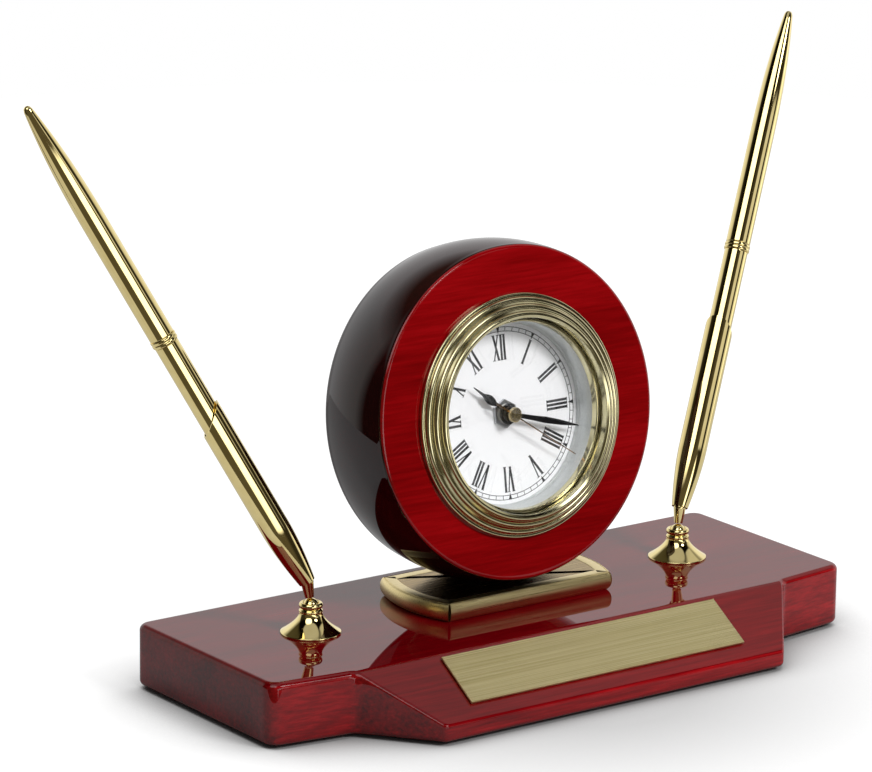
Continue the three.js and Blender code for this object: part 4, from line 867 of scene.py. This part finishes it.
make_hand("hour_hand_blade", [0, 5.0, 6.6, 8.0, 9.3, 10.6, 14.8], [0.45, 0.4, 1.1, 1.32, 1.0, 0.42, 0.12],
          3.0, dial_front + 2.1, shown_hour / 12, hand_black, "hour", "black_paint")
make_hand("minute_hand_blade", [0, 8.0, 12.5, 18.0, 24.6], [0.6, 0.72, 0.95, 0.75, 0.12],
          2.25, dial_front + 3.4, shown_minute / 60, hand_black, "minute", "black_paint")

second_low = dial_front + 4.5
second_ring = [[-0.3, -7.0], [0.3, -7.0], [0.22, 0.0], [0.1, 25.4], [-0.1, 25.4], [-0.22, 0.0]]
points, faces = stacked([[(x, y, second_low + z) for x, y in second_ring] for z in (0, hand_thickness)])
points = points @ turn_matrix("Z", -2 * np.pi * shown_second / 60)[:3, :3].T
make_piece("second_hand_needle", placed(points, clock_frame), faces, warm_gold, "second", "copper_gold",
           ["second_hand"])
cap_low = second_low + hand_thickness + 0.1
cap_high, cap_radius = cap_low + 0.9, 2.15
turned_on_clock("hand_cap_button", rounded([
    (0, cap_low), (cap_radius, cap_low, 0.1), (cap_radius, cap_high - 0.15, 0.2),
    (cap_radius - 0.25, cap_high, 0.2), (0, cap_high),
], steps=4), cap_gold, "second", "copper_gold", ["hand_cap"], 64)

# %% [markdown]
# ## Pen holders and pens
# Each holder is a bell screwed to the stand, a ball in its collar, a short stem, and a slim sleeve whose
# mouth is cut off at a slope. The pen stands in the sleeve. Both sides are the same but for a mirror turn,
# so one function builds a side from its sign.

# %% Profiles of the holder, in millimetres
bell_radius, bell_height, collar, waist = 8.6, 8.9, 3.4, 6.0
ball_radius, ball_height = 2.3, 7.8
stem_length, stem_foot, stem_top, stem_lean = 7.2, 1.3, 1.85, np.radians(9)
sleeve_end, sleeve_radius, sleeve_bore, sleeve_taper = 2.4, 4.2, 3.85, 18.0
sleeve_length, mouth_slope = 54.8, np.radians(42)
pen_lean, pen_heading = np.radians(29.5), np.radians(28.4)
holder_x, holder_y = 65.95, 10.7


def swelling(end, full, length, power, height):
    """A radius that grows from end to full over a length: full - (full - end) (1 - h / length) ** power."""
    return full - (full - end) * (1 - np.minimum(height / length, 1)) ** power


def bell_profile():
    """A rim, a flare whose radius falls as (1 - height) ** 1.7, a narrow bead and a round collar."""
    share = np.linspace(0, 1, 26)
    flare = np.stack([
        collar - 0.1 + (bell_radius - collar + 0.1) * (1 - share) ** 1.7, 0.45 + (waist - 0.45) * share,
    ], axis=1)[1:]
    rim = rounded([
        (bell_radius - 1, 0), (bell_radius, 0, 0.12), (bell_radius, 0.45, 0.2), tuple(flare[0]),
    ], steps=4)
    bead = arc(0, 0, 1, -80, 80, 12) * [0.25, 0.36] + [collar - 0.25, waist + 0.42]
    top = arc(0, 0, 1, -80, 90, 20) * [0.62, 0.85] + [collar - 0.62, bell_height - 0.85]
    inside = [(2.3, bell_height - 0.2), (2.24, bell_height - 0.5), (2.53, bell_height - 0.8), (2.53, 4.5),
              (1.95, 4.5), (1.95, 3.7), (3.5, 3.2), (4.8, 2.1)]
    return np.vstack([rim[:-1], flare, bead, top, inside])


print("bell profile:", len(bell_profile()), "points")

# %% Profiles of the pen
pen_top, pen_tip, pen_full, pen_low, pen_taper = 156.7, 1.1, 3.65, 3.5, 42.0
pen_ring, pen_ring_length, pen_ring_radius = 80.0, 2.2, 3.85
nose_foot, nose_length = 9.6, 14.4
pen_bore = pen_low - 0.9


def upper_barrel_profile():
    """A tube that tapers to a round tip: the taper is a swelling, sampled closer towards the tip."""
    depth = pen_taper * (1 - (1 - np.linspace(0, 1, 60)) ** 1.8)
    taper = np.stack([swelling(pen_tip, pen_full, pen_taper, 2.45, depth), pen_top - depth], axis=1)
    tip = arc(0, pen_top - 1.15, 1.15, 12, 90, 10)
    tip[-1, 0] = 0
    taper = taper[(taper[:, 1] < tip[0, 1] - 0.15)][::-1]
    foot = pen_ring + pen_ring_length + 0.1
    shoulder = pen_top - pen_taper
    inside = [(0, pen_top - 14), (pen_bore, shoulder), (pen_bore, foot), (pen_full - 0.1, foot),
              (pen_full, foot + 0.12)]
    return np.vstack([inside, taper, tip])


def ring_profile():
    """Two beads side by side, with a groove between them."""
    low, high = pen_ring, pen_ring + pen_ring_length
    middle, quarter = (low + high) / 2, pen_ring_length / 4
    bead = arc(0, 0, 1, -80, 80, 12)
    parts = [np.array([[pen_bore, low]])]
    for centre in (low + quarter, middle + quarter):
        parts.append(bead * [0.22, quarter * 0.98] + [pen_ring_radius - 0.22, centre])
    parts.append(np.array([[pen_bore, high]]))
    return np.vstack(parts)


lower_barrel_profile = rounded([
    (pen_bore, nose_foot + nose_length + 0.1), (pen_low, nose_foot + nose_length + 0.1, 0.1),
    (pen_low, pen_ring - 0.1, 0.1), (pen_bore, pen_ring - 0.1),
], steps=3, closed=True)
nose_height = np.linspace(0, nose_length, 24)
nose_radius = 1.05 + (pen_low - 1.05) * np.sin(nose_height / nose_length * np.pi / 2) ** 0.9
nose_profile = np.vstack([
    [(0.75, nose_foot)], np.stack([nose_radius, nose_foot + nose_height], axis=1),
    [(1.4, nose_foot + nose_length), (1.4, nose_foot + 5), (0.75, nose_foot + 3)],
])
refill_profile = rounded([
    (0, 8.3), (0.45, 8.6, 0.2), (0.45, 13.0), (1.1, 15.0), (1.1, 108.0), (0, 108.0),
], steps=4)
print("pen profiles:", len(upper_barrel_profile()), len(ring_profile()), len(nose_profile), "points")


# %% Shape the sleeve with its sloping mouth
def sleeve_surface(steps=96, rows=70):
    """Outside and inside are turned walls whose rows spread from the foot to the mouth. The mouth's height
    at an angle t is length - r tan(slope) cos t, the cut of a plane through the tube."""
    turn = np.linspace(0, 2 * np.pi, steps, endpoint=False)
    ring = np.stack([np.cos(turn), np.sin(turn)], axis=1)

    def wall(radius_at, share, mouth_radius, foot):
        top = sleeve_length - mouth_radius * np.tan(mouth_slope) * np.cos(turn)
        height = foot + (top[None, :] - foot) * share[:, None]
        radius = radius_at(height)
        return np.concatenate([radius[..., None] * ring[None], height[..., None]], axis=2)

    share = np.linspace(0, 1, rows) ** 1.3
    outside = wall(lambda z: swelling(sleeve_end, sleeve_radius, sleeve_taper, 1.7, z), share,
                   sleeve_radius, 0.0)
    lip_radius = (sleeve_radius + sleeve_bore) / 2
    lip = wall(lambda z: np.full_like(z, lip_radius), np.array([1.0]), lip_radius, 0.0) + [0, 0, 0.12]
    inside = wall(lambda z: np.minimum(2.15 + np.clip(z - 2.6, 0, None) * 0.115, sleeve_bore),
                  np.linspace(1, 0, 20), sleeve_bore, 0.0)
    surface = np.concatenate([outside, lip, inside])
    faces = grid_faces(len(surface), steps, wrap_rows=True, wrap_columns=True)
    return surface.reshape(-1, 3), faces.tolist()


print("sleeve:", len(sleeve_surface()[0]), "points")


# %% Build both sides
def leaning(sign, angle):
    """Leans an upright piece towards its side: a tilt about Y, then a turn about Z to its heading."""
    heading = pen_heading if sign > 0 else np.pi - pen_heading
    return turn_matrix("Z", heading) @ turn_matrix("Y", angle)


def build_side(side, sign):
    """Bell, ball, stem, sleeve and pen of one side."""
    foot = move_matrix(sign * holder_x, holder_y, stand_top)
    swivel = move_matrix(sign * holder_x, holder_y, stand_top + ball_height)
    stem = swivel @ leaning(sign, stem_lean)
    end = stem @ np.array([0, 0, stem_length, 1])
    axis = move_matrix(*end[:3]) @ leaning(sign, pen_lean)
    holder, pen = f"{side}_holder", f"{side}_pen"

    def turned_piece(name, profile, matrix, body, node, finish=pen_gold, slot="polished_gold", steps=64):
        points, faces = turned(held(profile), steps)
        make_piece(name, placed(points, matrix), faces, finish, body, slot, [node])

    turned_piece(f"{side}_bell_cast", bell_profile(), foot, "base", f"{side}_bell", steps=96)
    ball = arc(0, 0, ball_radius, -90, 90, 24)
    ball[[0, -1], 0] = 0
    turned_piece(f"{side}_ball_turned", ball, swivel, f"{side}_swivel", f"{side}_ball", steps=48)
    top = arc(0, stem_length, stem_top, 0, 90, 10)
    top[-1, 0] = 0
    foot_z = ball_radius + 0.3
    turned_piece(f"{side}_stem_turned", np.vstack([[(0, foot_z), (stem_foot, foot_z)], top]), stem, holder,
                 f"{side}_stem", steps=48)
    points, faces = sleeve_surface()
    make_piece(f"{side}_sleeve_drawn", placed(points, axis), faces, pen_gold, holder, "polished_gold",
               [f"{side}_sleeve"])
    turned_piece(f"{side}_pen_crown", upper_barrel_profile(), axis, pen, f"{side}_pen_upper_barrel")
    turned_piece(f"{side}_pen_double_ring", ring_profile(), axis, pen, f"{side}_pen_ring")
    turned_piece(f"{side}_pen_tube", lower_barrel_profile, axis, pen, f"{side}_pen_lower_barrel")
    turned_piece(f"{side}_pen_cone", nose_profile, axis, pen, f"{side}_pen_nose")
    turned_piece(f"{side}_refill_tube", refill_profile, axis, pen, f"{side}_pen_refill", warm_gold,
                 "copper_gold", 24)


build_side("left", -1)
build_side("right", 1)

# %% [markdown]
# ## What stays as solids
# Flat and hidden pieces keep their CAD shape, because a finer surface would show nothing more. They only
# need their finish: a procedural material in the slot of each.

# %% Give the remaining solids their finish
kept = {
    plate_brass: ["nameplate"],
    green_felt: ["felt_pad"],
    bright_steel: ["case_screw_left", "case_screw_right", "left_stud", "right_stud", "left_washer",
                   "right_washer", "left_nut", "right_nut", "quartz_crystal", "button_cell", "cell_strap",
                   "hour_wheel", "cannon_pinion", "second_wheel", "dial_nut"],
    black_plastic: ["insert_cup", "set_knob"],
    white_plastic: ["movement_case", "movement_cover", "set_wheel"],
    black_rubber: ["rubber_band"],
    green_board: ["circuit_board"],
    copper_wire: ["motor_coil"],
}
for finish, names in kept.items():
    for name in names:
        node_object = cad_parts[name]
        node_object.data.materials.clear()
        node_object.data.materials.append(finish)
print("solids kept:", sum(len(names) for names in kept.values()))

# %% [markdown]
# ## Floor, room and lamps
# The set stands on a round white table. The camera sees the table topped up to white, except near the foot
# of the stand, where ambient occlusion holds the top-up back as painted contact shade, and in front of its
# lip, where a painted shadow darkens it. What the gold and the lacquer reflect is a room of its own: bright
# behind the clock, and dark in front and overhead, because gold needs something dark to reflect, or it
# looks like yellow paint. Soft boxes hang where the bright stripes of the pens and the bezel ask for them.
# Matt surfaces are lit by one lamp and a soft glow at the reader's upper right.

# %% Make the table
table_finish, table_tree, table_shader = start_finish("white_table", Roughness=0.9, Specular_IOR_Level=0.1)
table_shader.inputs["Base Color"].default_value = tint("#868686")
table_shader.inputs["Emission Color"].default_value = (1, 1, 1, 1)


def seen_rays(tree):
    """1 for a ray that the camera, a mirror or glass sends out, 0 for the light on matt surfaces."""
    path = add_node(tree, "ShaderNodeLightPath")
    straight = maths(tree, "MAXIMUM", path.outputs["Is Camera Ray"], path.outputs["Is Glossy Ray"])
    return maths(tree, "MAXIMUM", straight, path.outputs["Is Transmission Ray"])


contact_reach, shade_middle, mirror_share = 0.06, (0.0, -0.03, 0.0), 0.5
# Near the stand the table's top-up falls with ambient occlusion: painted contact shade.
near = add_node(table_tree, "ShaderNodeAmbientOcclusion", {"Distance": contact_reach}, samples=16)
lift = add_node(table_tree, "ShaderNodeMapRange", {
    "Value": near.outputs["AO"], "From Min": 0.35, "From Max": 0.98, "To Min": 0.0, "To Max": 0.95})
spot = add_node(table_tree, "ShaderNodeTexCoord").outputs["Object"]
# lip_shade is a painted shadow: a fixed darkening of the top-up around a point in front of the lip.
lip_shade = add_node(table_tree, "ShaderNodeMapRange", {
    "Value": vector_maths(table_tree, "DISTANCE", spot, shade_middle),
    "From Min": 0.03, "From Max": 0.115, "To Min": 0.5, "To Max": 1.0})
table_rays = add_node(table_tree, "ShaderNodeLightPath")
mirrored = maths(table_tree, "MULTIPLY", table_rays.outputs["Is Glossy Ray"], mirror_share)
table_seen = maths(table_tree, "MAXIMUM", table_rays.outputs["Is Camera Ray"], mirrored)
table_lift = maths(table_tree, "MULTIPLY", table_seen, lift.outputs["Result"])
table_lift = maths(table_tree, "MULTIPLY", table_lift, lip_shade.outputs["Result"])
table_tree.links.new(table_lift, table_shader.inputs["Emission Strength"])
table_radius, table_front = 0.5, 0.13
table_edge = np.linspace(0, 2 * np.pi, 128, endpoint=False)
table_points = np.stack([np.cos(table_edge), np.sin(table_edge), 0 * table_edge], axis=1) * table_radius
table_points += np.array([np.sin(view_azimuth), np.cos(view_azimuth), 0]) * (table_radius - table_front)
table_mesh = bpy.data.meshes.new("table")
table_mesh.from_pydata(table_points.tolist(), [], [list(range(len(table_points)))])
table_mesh.materials.append(table_finish)
table = bpy.data.objects.new("table", table_mesh)
bpy.context.scene.collection.objects.link(table)
print("table:", 2 * table_radius, "m across")

# %% Paint the room that the rays see
world = bpy.data.worlds.new("studio")
bpy.context.scene.world = world
world.use_nodes = True
sky = world.node_tree
sky.nodes.clear()
direction = add_node(sky, "ShaderNodeTexCoord").outputs["Generated"]


def facing(towards, stops):
    """Colours by how far a direction points towards a given one: the ramp runs from dot -1 to dot 1."""
    dot = vector_maths(sky, "DOT_PRODUCT", direction, towards)
    share = add_node(sky, "ShaderNodeMapRange", {"Value": dot, "From Min": -1.0, "From Max": 1.0})
    ramp = add_node(sky, "ShaderNodeValToRGB", {"Fac": share.outputs["Result"]}, stops=stops)
    return ramp.outputs["Color"]


def look(azimuth, elevation):
    """The direction at an azimuth, counted from the camera to the reader's right, and an elevation."""
    turn, rise = np.radians([azimuth, elevation]) - [view_azimuth, 0]
    return (float(np.sin(turn) * np.cos(rise)), float(-np.cos(turn) * np.cos(rise)), float(np.sin(rise)))


def glow(azimuth, elevation, half_length, half_width, slope, strength):
    """A long soft box: bright within an angle of its middle and within a smaller one of its long axis. Its
    edges fade over part of those angles, as a diffuser's do, or the stripes on the pens would look cut."""
    middle = np.array(look(azimuth, elevation))
    level = np.array(look(azimuth + 90, 0))
    along = level * np.cos(np.radians(slope)) + np.cross(middle, level) * np.sin(np.radians(slope))
    normal = np.cross(middle, along / np.linalg.norm(along))
    reach, inner = np.cos(np.radians([half_length, half_length * 0.85])) / 2 + 0.5
    wide, core = np.sin(np.radians([half_width, half_width * 0.6])) / 2
    lengthwise = facing(tuple(middle), [(float(reach), "#000000"), (float(inner), "#ffffff")])
    crosswise = facing(tuple(normal), [
        (0.5 - float(wide), "#000000"), (0.5 - float(core), "#ffffff"),
        (0.5 + float(core), "#ffffff"), (0.5 + float(wide), "#000000")])
    both = vector_maths(sky, "MULTIPLY", lengthwise, crosswise)
    return vector_maths(sky, "MULTIPLY", both, (strength, strength, strength))


soft_boxes = {
    "right pen, white stripe": (-19, 46, 23, 20, 0, 2.6),
    "left pen, white stripe": (33, 1, 24, 9, 26, 2.4),
    "both pens, right edge": (104, -4, 18, 18, 0, 0.75),
    "right pen, gold stripe": (62, 19, 15, 5, -30, 0.75),
    "left pen, gold half": (-62, -36, 24, 14, 0, 0.6),
    "bezel and moulding from above": (0, 80, 26, 27, 0, 0.5),
    "bezel, highlight at the upper left": (52, 40, 9, 7, 0, 8.0),
    "nameplate": (136, 54, 26, 18, 0, 0.55),
}
room = facing(look(180, 0), [
    (0.15, "#5a5444"), (0.27, "#302c22"), (0.555, "#322e24"), (0.62, "#d8d6d0"), (0.85, "#ffffff")])
ceiling = facing((0, 0, 1), [(0.72, "#ffffff"), (0.82, "#54503f")])
seen = vector_maths(sky, "MULTIPLY", room, ceiling)
for box in soft_boxes.values():
    seen = vector_maths(sky, "ADD", seen, glow(*box))
camera_ray = add_node(sky, "ShaderNodeLightPath").outputs["Is Camera Ray"]
backdrop = vector_maths(sky, "MAXIMUM", seen, camera_ray)
soft_light = facing((0.52, -0.62, 0.59), [(0.1, "#202020"), (0.9, "#c8c8c8")])
seen_room = add_node(sky, "ShaderNodeBackground", {"Color": backdrop, "Strength": 1.0})
soft_room = add_node(sky, "ShaderNodeBackground", {"Color": soft_light, "Strength": 1.0})
choice = add_node(sky, "ShaderNodeMixShader", {
    0: seen_rays(sky), 1: soft_room.outputs["Background"], 2: seen_room.outputs["Background"]})
add_node(sky, "ShaderNodeOutputWorld", {"Surface": choice.outputs["Shader"]})
print("soft boxes:", ", ".join(soft_boxes))


def soft_lamp(name, azimuth, elevation, distance, size, power, aim=(0, 0, 0.07)):
    """A rectangular lamp in the direction that look gives, turned to face a point. Mirrors don't see it:
    it is so small and bright that it would break up into dots on the pens."""
    place = Vector(aim) + Vector(look(azimuth, elevation)) * distance
    lamp = bpy.data.lights.new(name, "AREA")
    lamp.shape = "RECTANGLE"
    lamp.size, lamp.size_y = size
    lamp.energy = power
    holder = bpy.data.objects.new(name, lamp)
    bpy.context.scene.collection.objects.link(holder)
    holder.location = place
    holder.visible_glossy = False
    holder.rotation_mode = "QUATERNION"
    holder.rotation_quaternion = (Vector(aim) - place).to_track_quat("-Z", "Y")
    return holder


key_lamp = soft_lamp("key", 52, 36, 1.2, (0.3, 0.3), 11.0)
print("key lamp at", [round(v, 2) for v in key_lamp.location])
bpy.context.scene.view_settings.view_transform = "Standard"
